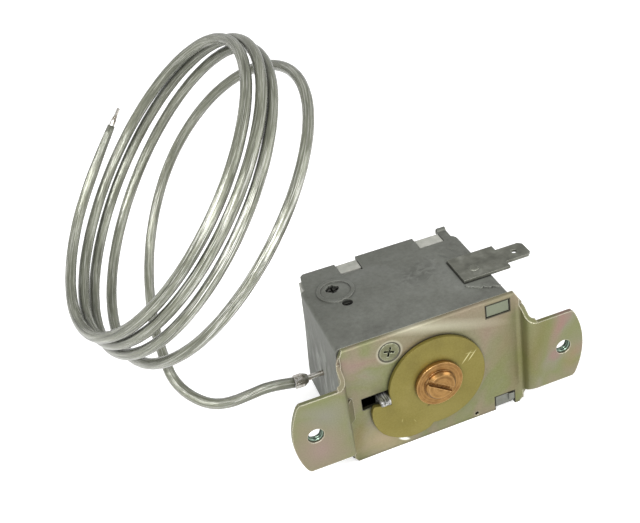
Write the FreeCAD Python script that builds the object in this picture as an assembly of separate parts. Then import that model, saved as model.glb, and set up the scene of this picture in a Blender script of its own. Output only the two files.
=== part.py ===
# Capillary thermostat for a refrigerator: a mounting plate with two ears, a
# folded case, a range spindle with a stop disc, a bellows that works a lever
# and a switch, and a long capillary tube wound in a loose coil.
# Millimetres. The origin is midway between the two ear holes, on the front of
# the ears. X is to the right, Y goes back into the case, Z is up.
import math
import os

import FreeCAD
import Part

# mounting plate
SHEET = 1.2
FACE_WIDTH = 52.4
FACE_HEIGHT = 37.0
FACE_SETBACK = 5.2
CORNER_X = 2.3
CORNER_Z = 3.9
BEND_INNER_R = 1.2
EDGE_ROUND = 0.6
HOLE_SPACING = 70.0
HOLE_R = 2.15
HOLE_COLLAR_WALL = 0.5
HOLE_COLLAR_LENGTH = 1.4
EAR_HALF_HEIGHT = 10.9
# past the hole's centre to the end of the straight edge and to the rounded tip
EAR_STRAIGHT_OUT = 3.5
EAR_TIP_OUT = 5.9
EAR_CORNER = 0.8
EAR_ROOT_OUT = 1.5
GUSSET_LEG = 1.5
GUSSET_Z = (-4.0, 3.0)

# openings in the mounting plate
SLOT_X = (-20.8, -10.6)
SLOT_Z = (-2.2, 1.5)
# in from the right side of the case, then down from the top or up from the bottom edge
UPPER_WINDOW_IN = (7.6, 0.7)
UPPER_WINDOW_DOWN = (5.1, 1.3)
LOWER_WINDOW_IN = (6.5, 0.6)
LOWER_WINDOW_UP = (-0.1, 4.5)
PEEP_HOLE_X = 10.9
PEEP_HOLE_UP = 1.3
PEEP_HOLE_R = 0.6

# range spindle and its stop disc
STUB_R = 4.2
STUB_Y = 1.2
STUB_CHAMFER = 0.6
DRIVER_SLOT_WIDTH = 1.4
DRIVER_SLOT_DEPTH = 1.1
DRIVER_SLOT_DEG = -35.0
COLLAR_R = 6.5
COLLAR_Y = 2.6
DISC_Y = 3.9
DISC_THICK = 1.0
DISC_R = 13.6
# outline of the disc's lobe: degrees round from the right, radius
LOBE = ((-103, 14.8), (-107, 15.6), (-112, 16.5), (-116, 17.2), (-121, 17.9), (-128, 18.7),
        (-134, 19.2), (-140, 19.7), (-146, 20.0), (-152, 20.0), (-158, 19.9), (-164, 19.6),
        (-170, 19.1), (-174.5, 18.4))
LOBE_CORNER = (-17.8, -1.3)
LOBE_HEEL_Z = -2.5
JOURNAL_R = 3.5
SHANK_R = 2.5
SHANK_END_Y = 19.2
CLIP_GROOVE_R = 2.0
CLIP_R = 4.6
CLIP_THICK = 0.6
RUNNING_GAP = 0.05
END_GAP = 0.1

# bush that carries the spindle
BUSH_BARREL_R = 4.8
BUSH_FLANGE_R = 5.4
BUSH_FLANGE_THICK = 1.6
BUSH_FLATS = 16

# stop pin beside the disc
PIN_SIDE_GAP = 0.12
PIN_WIDTH = 2.8
PIN_HEIGHT = 1.7
PIN_TOP_Z = 0.9
PIN_TIP_Y = 1.9
PIN_ROUND = 0.75
PIN_FOOT = (3.0, 1.0, 7.0)

# square nut and the channel that guides it
NUT_SIDE = 11.0
NUT_THICK = 4.0
NUT_Y = 12.7
NUT_SIDE_GAP = 0.15
CHEEK_THICK = 1.0
CHEEK_END_Y = 24.0
GUIDE_BASE_X = 9.0
GUIDE_HALF_Z = 6.0

# range spring between the nut and the lever
SPRING_R = 4.5
SPRING_WIRE = 0.9
SPRING_TURNS = 5
SPRING_POINTS = 8
SPRING_END_GAP = 0.3

# folded case
CASE_SHEET = 1.1
CASE_LEFT_X = -25.2
CASE_RIGHT_X = 23.1
CASE_FOLD_R = 1.3
CASE_BACK_Y = 41.8
CASE_RIGHT_BACK_Y = 36.7
# left back corner of the top: in from the case's left side, depth
TOP_CORNER = ((1.2, 34.2), (1.2, 35.6), (2.1, 41.0), (3.0, CASE_BACK_Y))
# back edge of the left wall: depth, down from the top
SIDE_EDGE = ((34.2, 0.0), (34.6, 2.0), (35.1, 6.7), (36.1, 12.5), (38.3, 21.2), (40.7, 30.3),
             (41.3, 34.5), (40.2, FACE_HEIGHT))
TONGUE_EXTRA = 0.7
TOP_SHOULDER_Y = 38.0
HOOK_X = (18.9, 21.4)
HOOK_Y = (41.3, 43.0)
HOOK_RISE = 0.75
FLANGE_LEFT_X = -9.4
FLANGE_RIGHT_X = 12.5
FLANGE_Z = 8.5
LUG_PROUD = 0.35
LUG_SUNK = 0.15
LUG_GAP = 0.25
LUG_RISE = 1.2
PROUD_WIDTH = 1.6
PROUD_RISE = 2.2
BOSS_CENTRE = (-16.7, 29.7)
BOSS_R = (4.2, 5.2)
BOSS_HEIGHT = 0.35
# from the centre of the boss, hole radius
TRIM_HOLES = ((-0.5, 1.4, 1.7), (1.1, -6.3, 1.5))
TRIM_CROSS = (3.8, 1.4)
RIB_COUNT = 3
RIB_SIZE = (4.6, 0.8, 0.4)
RIB_FIRST = (16.2, 12.6)
RIB_STEP = (2.1, -0.9)
RIB_DEG = -38.0

# switch base at the back
BASE_Y = (36.8, 40.0)
BASE_RAIL_Y = 33.4
BASE_RAIL_WIDTH = 2.4
LUG_TOP_SUNK = 0.2
LUG_BACK_Y = 41.1
NOTCHES = ((-12.8, -6.4, 35.8), (11.25, 18.75, 36.7))
NOTCH_GAP = 0.15
PLUNGER_X = 15.0
PLUNGER_R = 1.2
PLUNGER_END_GAP = 0.06
GUIDE_BAR_Y = (31.2, 32.4)
GUIDE_BAR_X = (13.0, 20.4)
GUIDE_LEG_X = 18.6

# switch blades and their terminals
TAB_WIDTH = 6.35
TAB_THICK = 0.8
TAB_END_Y = 47.8
TAB_TIP_CHAMFER = 1.0
LINE_TAB = (-6.2, -4.3)
LOAD_TAB = (6.8, -10.4)
TAB_HOLE_R = 0.83
SLOT_FIT = 0.05
BLADE_Y = 33.7
BLADE_THICK = 0.3
BLADE_ROOT_R = 0.35
BLADE_X = (-0.5, 16.6)
BLADE_HALF_Z = 3.0
CONTACT_X = 10.0
CONTACT_R = 1.5
MOVING_CONTACT_THICK = 0.5
CONTACT_GAP = 0.6
LINE_FOOT_BACK_Y = 34.5

# lever and its pin
LEVER_PIN = (-10.0, 33.0)
LEVER_PIN_R = 1.5
LEVER_KNUCKLE_R = 2.8
LEVER_Z = (-8.0, 4.0)
LEVER_THICK = 1.2
LEVER_ARM_Y = 29.2
LEVER_ARM_X = 17.0
LEVER_LEG_Y = 20.5

# bellows, its cup and the button between bellows and lever
BELLOWS_Y = 23.8
BELLOWS_Z = -1.8
CUP_R = 9.0
CUP_WALL = 0.8
CUP_LENGTH = 7.0
BELLOWS_R = (5.6, 7.2)
BELLOWS_FOLDS = 5
BELLOWS_LENGTH = 9.4
BUTTON_R = 1.6
BUTTON_GAP = 0.25

# trimming screws under the boss
# down from the inside of the top, then left and right and front and back of the boss
TRIM_PLATE_DOWN = 5.0
TRIM_PLATE_THICK = 1.0
TRIM_PLATE_X = (-4.3, 4.7)
TRIM_PLATE_Y = (-9.7, 3.9)
TRIM_SCREW_R = 1.25
TRIM_SCREW_FLATS = 16
TRIM_HEAD_R = 1.4
TRIM_HEAD_THICK = 1.6
# bottom and top of the screws, down from the top of the case
TRIM_SCREW_DOWN = (8.5, 0.6)

# screw in the face of the plate
FACE_SCREW_X = -11.7
FACE_SCREW_DOWN = 5.2
FACE_SCREW_HEAD_R = 2.8
FACE_SCREW_R = 1.5
FACE_SCREW_END_Y = 10.0
FACE_SCREW_BELOW = 0.1
FACE_SCREW_FLATS = 24

# earth terminal on top of the case
EARTH_WIDE_X = (14.7, 28.4)
EARTH_WIDE_Y = (15.4, 26.4)
EARTH_TIP_X = 36.2
EARTH_TAB_Y = 21.0
EARTH_HOLE_X = 32.4
EARTH_RIVET = (19.5, 19.5)
EARTH_RIVET_R = 1.2
RIVET_FLATS = 16

# capillary: bore tube, ferrule, sleeve and coil
TUBE_R = 0.75
SLEEVE_R = 1.45
SLEEVE_SIDES = 5
SLEEVE_START = 0.35
ENTRY = (23.8, -1.8)
# out from the case's left side
FERRULE_OUT = (8.2, 4.4)
FERRULE_R = 1.9
FERRULE_NECK = 1.4
TIP_ROUND = 1.6
TIP_PINCH = 3.2
TIP_LENGTH = 5.4
TIP_FLAT = (1.15, 0.32)
COIL_CENTRE = (-39.46, 47.48, 40.52)
COIL_NORMAL = (0.7515, 0.005, -0.6598)
POINTS_PER_TURN = 12
ARC_REACH = 0.36
FIRST_TURN = -0.02
LAST_TURN = 4.253
STATION_STEP = 0.25
# shift against the normal, shift sideways, shift up, radius; a row per quarter turn from the bottom
STATIONS = (
    (-6.51, -0.43, -0.74, 44.05),
    (3.95, -0.39, -0.60, 43.92),
    (2.61, -0.40, -0.20, 43.64),
    (6.43, -0.10, 0.12, 43.54),
    (8.69, 0.00, 0.29, 43.40),
    (11.27, 0.03, 0.33, 43.34),
    (13.69, 0.05, 0.35, 43.34),
    (14.41, 0.07, 0.45, 43.32),
    (14.62, 0.11, 0.68, 43.29),
    (15.67, 0.22, 1.03, 43.24),
    (17.01, 0.33, 1.27, 43.06),
    (17.86, 0.39, 1.24, 42.67),
    (18.49, 0.40, 1.09, 42.29),
    (19.32, 0.40, 0.98, 42.08),
    (20.15, 0.37, 0.81, 41.78),
    (20.88, 0.32, 0.42, 41.15),
    (22.19, 0.23, -0.45, 40.37),
    (25.00, 0.09, -2.06, 39.76),
    (27.78, -0.03, -3.49, 39.60),
)
# corners of the run from the ferrule to the coil, seen in the photograph
RUN_POINTS = (
    (-39.9, 24.6, -0.9),
    (-45.4, 25.8, -2.5),
    (-50.9, 27.5, -4.4),
    (-55.9, 30.0, -4.8),
    (-60.2, 33.8, -2.9),
    (-62.8, 38.4, -0.9),
)


def vec(x, y, z):
    return FreeCAD.Vector(x, y, z)


def box(x0, x1, y0, y1, z0, z1):
    return Part.makeBox(x1 - x0, y1 - y0, z1 - z0, vec(x0, y0, z0))


def rod(radius, start, length, direction):
    return Part.makeCylinder(radius, length, start, direction)


def prism(points, thickness):
    """A flat outline in space pushed along a vector."""
    wire = Part.makePolygon([vec(*p) for p in points] + [vec(*points[0])])
    return Part.Face(wire).extrude(thickness)


def turned(profile, start, axis_x, axis_r):
    """A closed outline of (along, radius) points turned round a line."""
    points = [start + axis_x * a + axis_r * r for a, r in profile]
    wire = Part.makePolygon(points + [points[0]])
    return Part.Face(wire).revolve(start, axis_x, 360)


def sewn(faces):
    """A solid from faces that meet edge to edge."""
    shell = Part.makeCompound(faces)
    shell.sewShape()
    solid = Part.makeSolid(shell.Shells[0])
    if solid.Volume < 0:
        solid.reverse()
    return solid


def flatted(profile, start, axis, out, sides):
    """Like turned, with flats round the axis in place of curved faces."""
    rings = []
    for along, r in profile:
        ring = []
        for i in range(sides):
            spoke = FreeCAD.Rotation(axis, 360.0 * i / sides).multVec(out)
            ring.append(start + axis * along + spoke * r)
        rings.append(ring)
    faces = []
    for (a, ra), (b, rb) in zip(zip(rings, profile), zip(rings[1:] + rings[:1], profile[1:] + profile[:1])):
        for i in range(sides):
            j = (i + 1) % sides
            corners = []
            if ra[1] > 0:
                corners += [a[i], a[j]]
            else:
                corners.append(a[i])
            if rb[1] > 0:
                corners += [b[j], b[i]]
            else:
                corners.append(b[i])
            if len(corners) > 2:
                faces.append(Part.Face(Part.makePolygon(corners + [corners[0]])))
    return sewn(faces).removeSplitter()


def many_sided(radius, start, length, axis, sides):
    """A bar or hole with flats round it."""
    out = RIGHT if abs(axis.z) > 0.5 else UP
    profile = [(0, 0), (0, radius), (length, radius), (length, 0)]
    return flatted(profile, start, axis, out, sides)


def merged(shapes):
    solid = shapes[0].fuse(shapes[1:]) if len(shapes) > 1 else shapes[0]
    return solid.removeSplitter()


BACK = vec(0, 1, 0)
UP = vec(0, 0, 1)
RIGHT = vec(1, 0, 0)
FACE_BACK_Y = FACE_SETBACK + SHEET
HALF_W = FACE_WIDTH / 2
HALF_H = FACE_HEIGHT / 2
EAR_STRAIGHT_X = HOLE_SPACING / 2 + EAR_STRAIGHT_OUT
EAR_TIP_X = HOLE_SPACING / 2 + EAR_TIP_OUT
EAR_ROOT_X = HALF_W + EAR_ROOT_OUT
CASE_IN_LEFT = CASE_LEFT_X + CASE_SHEET
CASE_IN_RIGHT = CASE_RIGHT_X - CASE_SHEET
CASE_IN_Z = HALF_H - CASE_SHEET
UPPER_WINDOW_X = [CASE_RIGHT_X - v for v in UPPER_WINDOW_IN]
UPPER_WINDOW_Z = [HALF_H - v for v in UPPER_WINDOW_DOWN]
LOWER_WINDOW_X = [CASE_RIGHT_X - v for v in LOWER_WINDOW_IN]
LOWER_WINDOW_Z = [v - HALF_H for v in LOWER_WINDOW_UP]
FACE_SCREW = (FACE_SCREW_X, HALF_H - FACE_SCREW_DOWN)
SCREW_HOLE_R = FACE_SCREW_R + END_GAP
FERRULE_X = [CASE_LEFT_X - v for v in FERRULE_OUT]
TRIM_SCREWS = [(BOSS_CENTRE[0] + x, BOSS_CENTRE[1] + y, r) for x, y, r in TRIM_HOLES]


def make_bracket():
    outer_r = BEND_INNER_R + SHEET
    web_out = HALF_W
    web_in = HALF_W - SHEET
    near = web_in - BEND_INNER_R
    far = web_out + BEND_INNER_R
    low = FACE_SETBACK - BEND_INNER_R
    high = SHEET + BEND_INNER_R
    c = math.cos(math.radians(45))

    def side(sign):
        def p(x, y):
            return vec(sign * x, y, -HALF_H)
        edges = [
            Part.LineSegment(p(0, FACE_SETBACK), p(near, FACE_SETBACK)),
            Part.Arc(p(near, FACE_SETBACK),
                     p(near + BEND_INNER_R * c, low + BEND_INNER_R * c), p(web_in, low)),
            Part.LineSegment(p(web_in, low), p(web_in, high)),
            Part.Arc(p(web_in, high), p(far - outer_r * c, high - outer_r * c), p(far, 0)),
            Part.LineSegment(p(far, 0), p(EAR_TIP_X, 0)),
            Part.LineSegment(p(EAR_TIP_X, 0), p(EAR_TIP_X, SHEET)),
            Part.LineSegment(p(EAR_TIP_X, SHEET), p(far, SHEET)),
            Part.Arc(p(far, SHEET),
                     p(far - BEND_INNER_R * c, high - BEND_INNER_R * c), p(web_out, high)),
            Part.LineSegment(p(web_out, high), p(web_out, low)),
            Part.Arc(p(web_out, low), p(near + outer_r * c, low + outer_r * c),
                     p(near, FACE_BACK_Y)),
            Part.LineSegment(p(near, FACE_BACK_Y), p(0, FACE_BACK_Y)),
            Part.LineSegment(p(0, FACE_BACK_Y), p(0, FACE_SETBACK)),
        ]
        wire = Part.Wire([e.toShape() for e in edges])
        return Part.Face(wire).extrude(vec(0, 0, FACE_HEIGHT))

    strip = side(1).fuse(side(-1)).removeSplitter()

    def outline_half(sign):
        return [
            (sign * (HALF_W - CORNER_X), HALF_H),
            (sign * HALF_W, HALF_H - CORNER_Z),
            (sign * EAR_ROOT_X, EAR_HALF_HEIGHT),
            (sign * (EAR_STRAIGHT_X - EAR_CORNER), EAR_HALF_HEIGHT),
            (sign * EAR_STRAIGHT_X, EAR_HALF_HEIGHT - EAR_CORNER),
        ]

    tip_z = EAR_HALF_HEIGHT - EAR_CORNER
    edges = []
    for sign in (1, -1):
        upper = outline_half(sign)
        lower = [(x, -z) for x, z in reversed(upper)]
        for run in (upper, lower):
            for a, b in zip(run, run[1:]):
                edges.append(Part.LineSegment(vec(a[0], -1, a[1]), vec(b[0], -1, b[1])))
        edges.append(Part.Arc(vec(sign * EAR_STRAIGHT_X, -1, tip_z), vec(sign * EAR_TIP_X, -1, 0),
                              vec(sign * EAR_STRAIGHT_X, -1, -tip_z)))
    flat = HALF_W - CORNER_X
    edges.append(Part.LineSegment(vec(-flat, -1, HALF_H), vec(flat, -1, HALF_H)))
    edges.append(Part.LineSegment(vec(-flat, -1, -HALF_H), vec(flat, -1, -HALF_H)))
    wire = Part.Wire(Part.__sortEdges__([e.toShape() for e in edges]))
    plate = strip.common(Part.Face(wire).extrude(vec(0, FACE_BACK_Y + 2, 0)))

    top = HALF_H - CORNER_Z
    for sign in (1, -1):
        x0 = web_in - 0.1 if sign > 0 else -EAR_TIP_X - 1
        run = EAR_TIP_X + 1 - web_in + 0.1
        for up in (1, -1):
            wedge = prism([(x0, FACE_SETBACK, up * top), (x0, -0.5, up * (EAR_HALF_HEIGHT - 0.35)),
                           (x0, -0.5, up * (HALF_H + 1)), (x0, FACE_SETBACK, up * (HALF_H + 1))],
                          vec(run, 0, 0))
            keep = box(sign * EAR_ROOT_X if sign > 0 else -EAR_TIP_X - 1,
                       EAR_TIP_X + 1 if sign > 0 else -EAR_ROOT_X, -1, SHEET + 0.01,
                       -HALF_H - 1, HALF_H + 1)
            plate = plate.cut(wedge.cut(keep))

    gusset = prism([(-web_in, FACE_SETBACK - BEND_INNER_R - GUSSET_LEG * 0.5, GUSSET_Z[0]),
                    (-web_in + BEND_INNER_R + GUSSET_LEG * 0.5, FACE_SETBACK, GUSSET_Z[0]),
                    (-web_in - 0.4, FACE_SETBACK + 0.4, GUSSET_Z[0])],
                   vec(0, 0, GUSSET_Z[1] - GUSSET_Z[0]))
    plate = plate.fuse(gusset)

    cuts = [
        many_sided(BUSH_BARREL_R, vec(0, 0, 0), 10, BACK, BUSH_FLATS),
        many_sided(PEEP_HOLE_R, vec(PEEP_HOLE_X, 0, PEEP_HOLE_UP - HALF_H), 10, BACK, 12),
        flatted([(FACE_SETBACK, 0), (FACE_SETBACK, FACE_SCREW_HEAD_R), (FACE_BACK_Y, SCREW_HOLE_R),
                 (FACE_BACK_Y, 0)], vec(FACE_SCREW[0], 0, FACE_SCREW[1]), BACK, UP, FACE_SCREW_FLATS),
        box(SLOT_X[0], SLOT_X[1], 0, 8, SLOT_Z[0], SLOT_Z[1]),
        box(UPPER_WINDOW_X[0], UPPER_WINDOW_X[1], 0, 8, UPPER_WINDOW_Z[0], UPPER_WINDOW_Z[1]),
        box(LOWER_WINDOW_X[0], LOWER_WINDOW_X[1], 0, 8, LOWER_WINDOW_Z[0], LOWER_WINDOW_Z[1]),
    ]
    collars = []
    for sign in (1, -1):
        hole = vec(sign * HOLE_SPACING / 2, SHEET / 2, 0)
        collars.append(many_sided(HOLE_R + HOLE_COLLAR_WALL, hole, SHEET / 2 + HOLE_COLLAR_LENGTH, BACK, 20))
        cuts.append(rod(HOLE_R, vec(hole.x, -1, 0), SHEET + HOLE_COLLAR_LENGTH + 2, BACK))
    plate = plate.fuse(collars).cut(cuts[0].fuse(cuts[1:]))
    rounds = [e for e in plate.Edges
              if abs(e.BoundBox.ZMin - HALF_H) < 1e-4 and abs(e.BoundBox.ZMax - HALF_H) < 1e-4
              and abs(e.BoundBox.YMin - FACE_SETBACK) < 1e-4 and e.BoundBox.YLength < 1e-4]
    return plate.makeFillet(EDGE_ROUND, rounds)


def make_bush():
    flange = FACE_BACK_Y + BUSH_FLANGE_THICK
    profile = [(FACE_SETBACK, 0), (FACE_SETBACK, BUSH_BARREL_R), (FACE_BACK_Y, BUSH_BARREL_R),
               (FACE_BACK_Y, BUSH_FLANGE_R), (flange, BUSH_FLANGE_R), (flange, 0)]
    bush = flatted(profile, vec(0, 0, 0), BACK, UP, BUSH_FLATS)
    return bush.cut(rod(JOURNAL_R + RUNNING_GAP, vec(0, 0, 0), 20, BACK))


def make_spindle():
    journal_end = FACE_BACK_Y + BUSH_FLANGE_THICK + END_GAP
    groove_end = journal_end + CLIP_THICK
    profile = [(STUB_Y, 0), (STUB_Y, STUB_R - STUB_CHAMFER), (STUB_Y + STUB_CHAMFER, STUB_R),
               (COLLAR_Y, STUB_R), (COLLAR_Y, COLLAR_R), (DISC_Y, COLLAR_R),
               (DISC_Y, JOURNAL_R), (journal_end, JOURNAL_R),
               (journal_end, CLIP_GROOVE_R), (groove_end, CLIP_GROOVE_R), (groove_end, 0)]
    solid = turned(profile, vec(0, 0, 0), BACK, UP)
    shank = many_sided(SHANK_R, vec(0, groove_end, 0), SHANK_END_Y - groove_end, BACK, 12)
    solid = solid.fuse(shank)
    slot = box(-STUB_R - 1, STUB_R + 1, STUB_Y - 1, STUB_Y + DRIVER_SLOT_DEPTH,
               -DRIVER_SLOT_WIDTH / 2, DRIVER_SLOT_WIDTH / 2)
    slot.rotate(vec(0, 0, 0), vec(0, -1, 0), DRIVER_SLOT_DEG)
    return solid.cut(slot)


def make_stop_disc():
    def at(deg, r):
        a = math.radians(deg)
        return vec(r * math.cos(a), DISC_Y, r * math.sin(a))
    heel = math.degrees(math.asin(LOBE_HEEL_Z / DISC_R))
    round_start = at(180 - heel, DISC_R)
    edges = [Part.Arc(round_start, at(90, DISC_R), at(0, DISC_R)).toShape(),
             Part.Arc(at(0, DISC_R), at(-50, DISC_R), at(-100, DISC_R)).toShape()]
    points = [at(-100, DISC_R)] + [at(d, r) for d, r in LOBE]
    points += [vec(LOBE_CORNER[0], DISC_Y, LOBE_CORNER[1]), round_start]
    for a, b in zip(points, points[1:]):
        edges.append(Part.LineSegment(a, b).toShape())
    disc = Part.Face(Part.Wire(edges)).extrude(vec(0, DISC_THICK, 0))
    return disc.cut(many_sided(JOURNAL_R / math.cos(math.pi / BUSH_FLATS), vec(0, 0, 0), 10, BACK, BUSH_FLATS))


def make_clip():
    y = FACE_BACK_Y + BUSH_FLANGE_THICK + END_GAP
    profile = [(y, CLIP_GROOVE_R), (y, CLIP_R), (y + CLIP_THICK, CLIP_R), (y + CLIP_THICK, CLIP_GROOVE_R)]
    ring = flatted(profile, vec(0, 0, 0), BACK, UP, 16).cut(rod(CLIP_GROOVE_R, vec(0, 0, 0), 20, BACK))
    mouth = box(-CLIP_GROOVE_R * 0.8, CLIP_GROOVE_R * 0.8, y - 1, y + 2, -CLIP_R - 1, 0)
    return ring.cut(mouth)


def make_stop_pin():
    right = -DISC_R - PIN_SIDE_GAP
    left = right - PIN_WIDTH
    tongue = box(left, right, PIN_TIP_Y, FACE_BACK_Y + PIN_FOOT[1], PIN_TOP_Z - PIN_HEIGHT, PIN_TOP_Z)
    foot = box(left, left + PIN_FOOT[0], FACE_BACK_Y, FACE_BACK_Y + PIN_FOOT[1],
               PIN_TOP_Z - PIN_HEIGHT - PIN_FOOT[2], PIN_TOP_Z)
    pin = tongue.fuse(foot).removeSplitter()
    tips = [e for e in pin.Edges if e.BoundBox.YMax < PIN_TIP_Y + 1e-4]
    return pin.makeFillet(PIN_ROUND, tips)


def make_nut_guide():
    inner = NUT_SIDE / 2 + NUT_SIDE_GAP
    base = box(-GUIDE_BASE_X, GUIDE_BASE_X, FACE_BACK_Y, FACE_BACK_Y + CHEEK_THICK,
               -GUIDE_HALF_Z, GUIDE_HALF_Z)
    hole_r = (BUSH_FLANGE_R + END_GAP) / math.cos(math.pi / 8)
    base = base.cut(many_sided(hole_r, vec(0, 0, 0), CHEEK_END_Y, BACK, 8))
    parts = [base]
    for sign in (1, -1):
        x0, x1 = sorted((sign * inner, sign * (inner + CHEEK_THICK)))
        parts.append(box(x0, x1, FACE_BACK_Y, CHEEK_END_Y, -GUIDE_HALF_Z, GUIDE_HALF_Z))
    return merged(parts)


def make_nut():
    half = NUT_SIDE / 2
    nut = box(-half, half, NUT_Y, NUT_Y + NUT_THICK, -half, half)
    return nut.cut(rod(SHANK_R + RUNNING_GAP, vec(0, 0, 0), 40, BACK))


def section(points, radius, sides):
    """Corners of a regular outline square to the first run of a route."""
    along = points[1] - points[0]
    along.normalize()
    side = along.cross(UP)
    side.normalize()
    top = along.cross(side)
    ring = []
    for i in range(sides):
        a = 2 * math.pi * (i + 0.5) / sides
        ring.append(points[0] + side * (radius * math.cos(a)) + top * (radius * math.sin(a)))
    return ring


def swept(points, profile_r, sides):
    """A tube of regular section along straight runs joined by tangent arcs."""
    corners = section(points, profile_r, sides)
    ring = Part.makePolygon(corners + [corners[0]])
    faces = [Part.Face(ring)]
    radii = []
    length = 0.0
    here = points[0]
    for before, corner, after in zip(points, points[1:], points[2:]):
        a = corner - before
        b = after - corner
        turn = a.getAngle(b)
        reach = ARC_REACH * min(a.Length, b.Length)
        radius = reach / math.tan(turn / 2)
        a.normalize()
        b.normalize()
        start = corner - a * reach
        axis = a.cross(b)
        axis.normalize()
        centre = start + axis.cross(a) * radius
        run = start - here
        faces += ring.extrude(run).Faces
        ring.translate(run)
        faces += ring.revolve(centre, axis, math.degrees(turn)).Faces
        ring.rotate(centre, axis, math.degrees(turn))
        radii.append(radius)
        length += run.Length + radius * turn
        here = corner + b * reach
    run = points[-1] - here
    faces += ring.extrude(run).Faces
    ring.translate(run)
    faces.append(Part.Face(ring))
    return sewn(faces), length + run.Length, min(radii)


def mitred(points, profile_r, sides):
    """A wire of regular section along straight runs with mitred corners."""
    ring = section(points, profile_r, sides)
    faces = [Part.Face(Part.makePolygon(ring + [ring[0]]))]
    for i in range(1, len(points)):
        run = points[i] - points[i - 1]
        run.normalize()
        after = points[min(i + 1, len(points) - 1)] - points[i]
        plane = run * 1.0
        if after.Length > 0:
            after.normalize()
            plane = run + after
        moved = [p + run * ((points[i] - p).dot(plane) / run.dot(plane)) for p in ring]
        for k in range(sides):
            n = (k + 1) % sides
            faces.append(Part.Face(Part.makePolygon([ring[k], ring[n], moved[n], moved[k], ring[k]])))
        ring = moved
    faces.append(Part.Face(Part.makePolygon(ring + [ring[0]])))
    return sewn(faces)


def make_range_spring():
    start = NUT_Y + NUT_THICK + SPRING_WIRE / 2
    end = LEVER_ARM_Y - SPRING_END_GAP - SPRING_WIRE / 2
    count = SPRING_TURNS * SPRING_POINTS
    points = []
    for i in range(count + 1):
        a = 2 * math.pi * i / SPRING_POINTS
        y = start + (end - start) * i / count
        points.append(vec(SPRING_R * math.cos(a), y, SPRING_R * math.sin(a)))
    return mitred(points, SPRING_WIRE / 2, 5)


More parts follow.
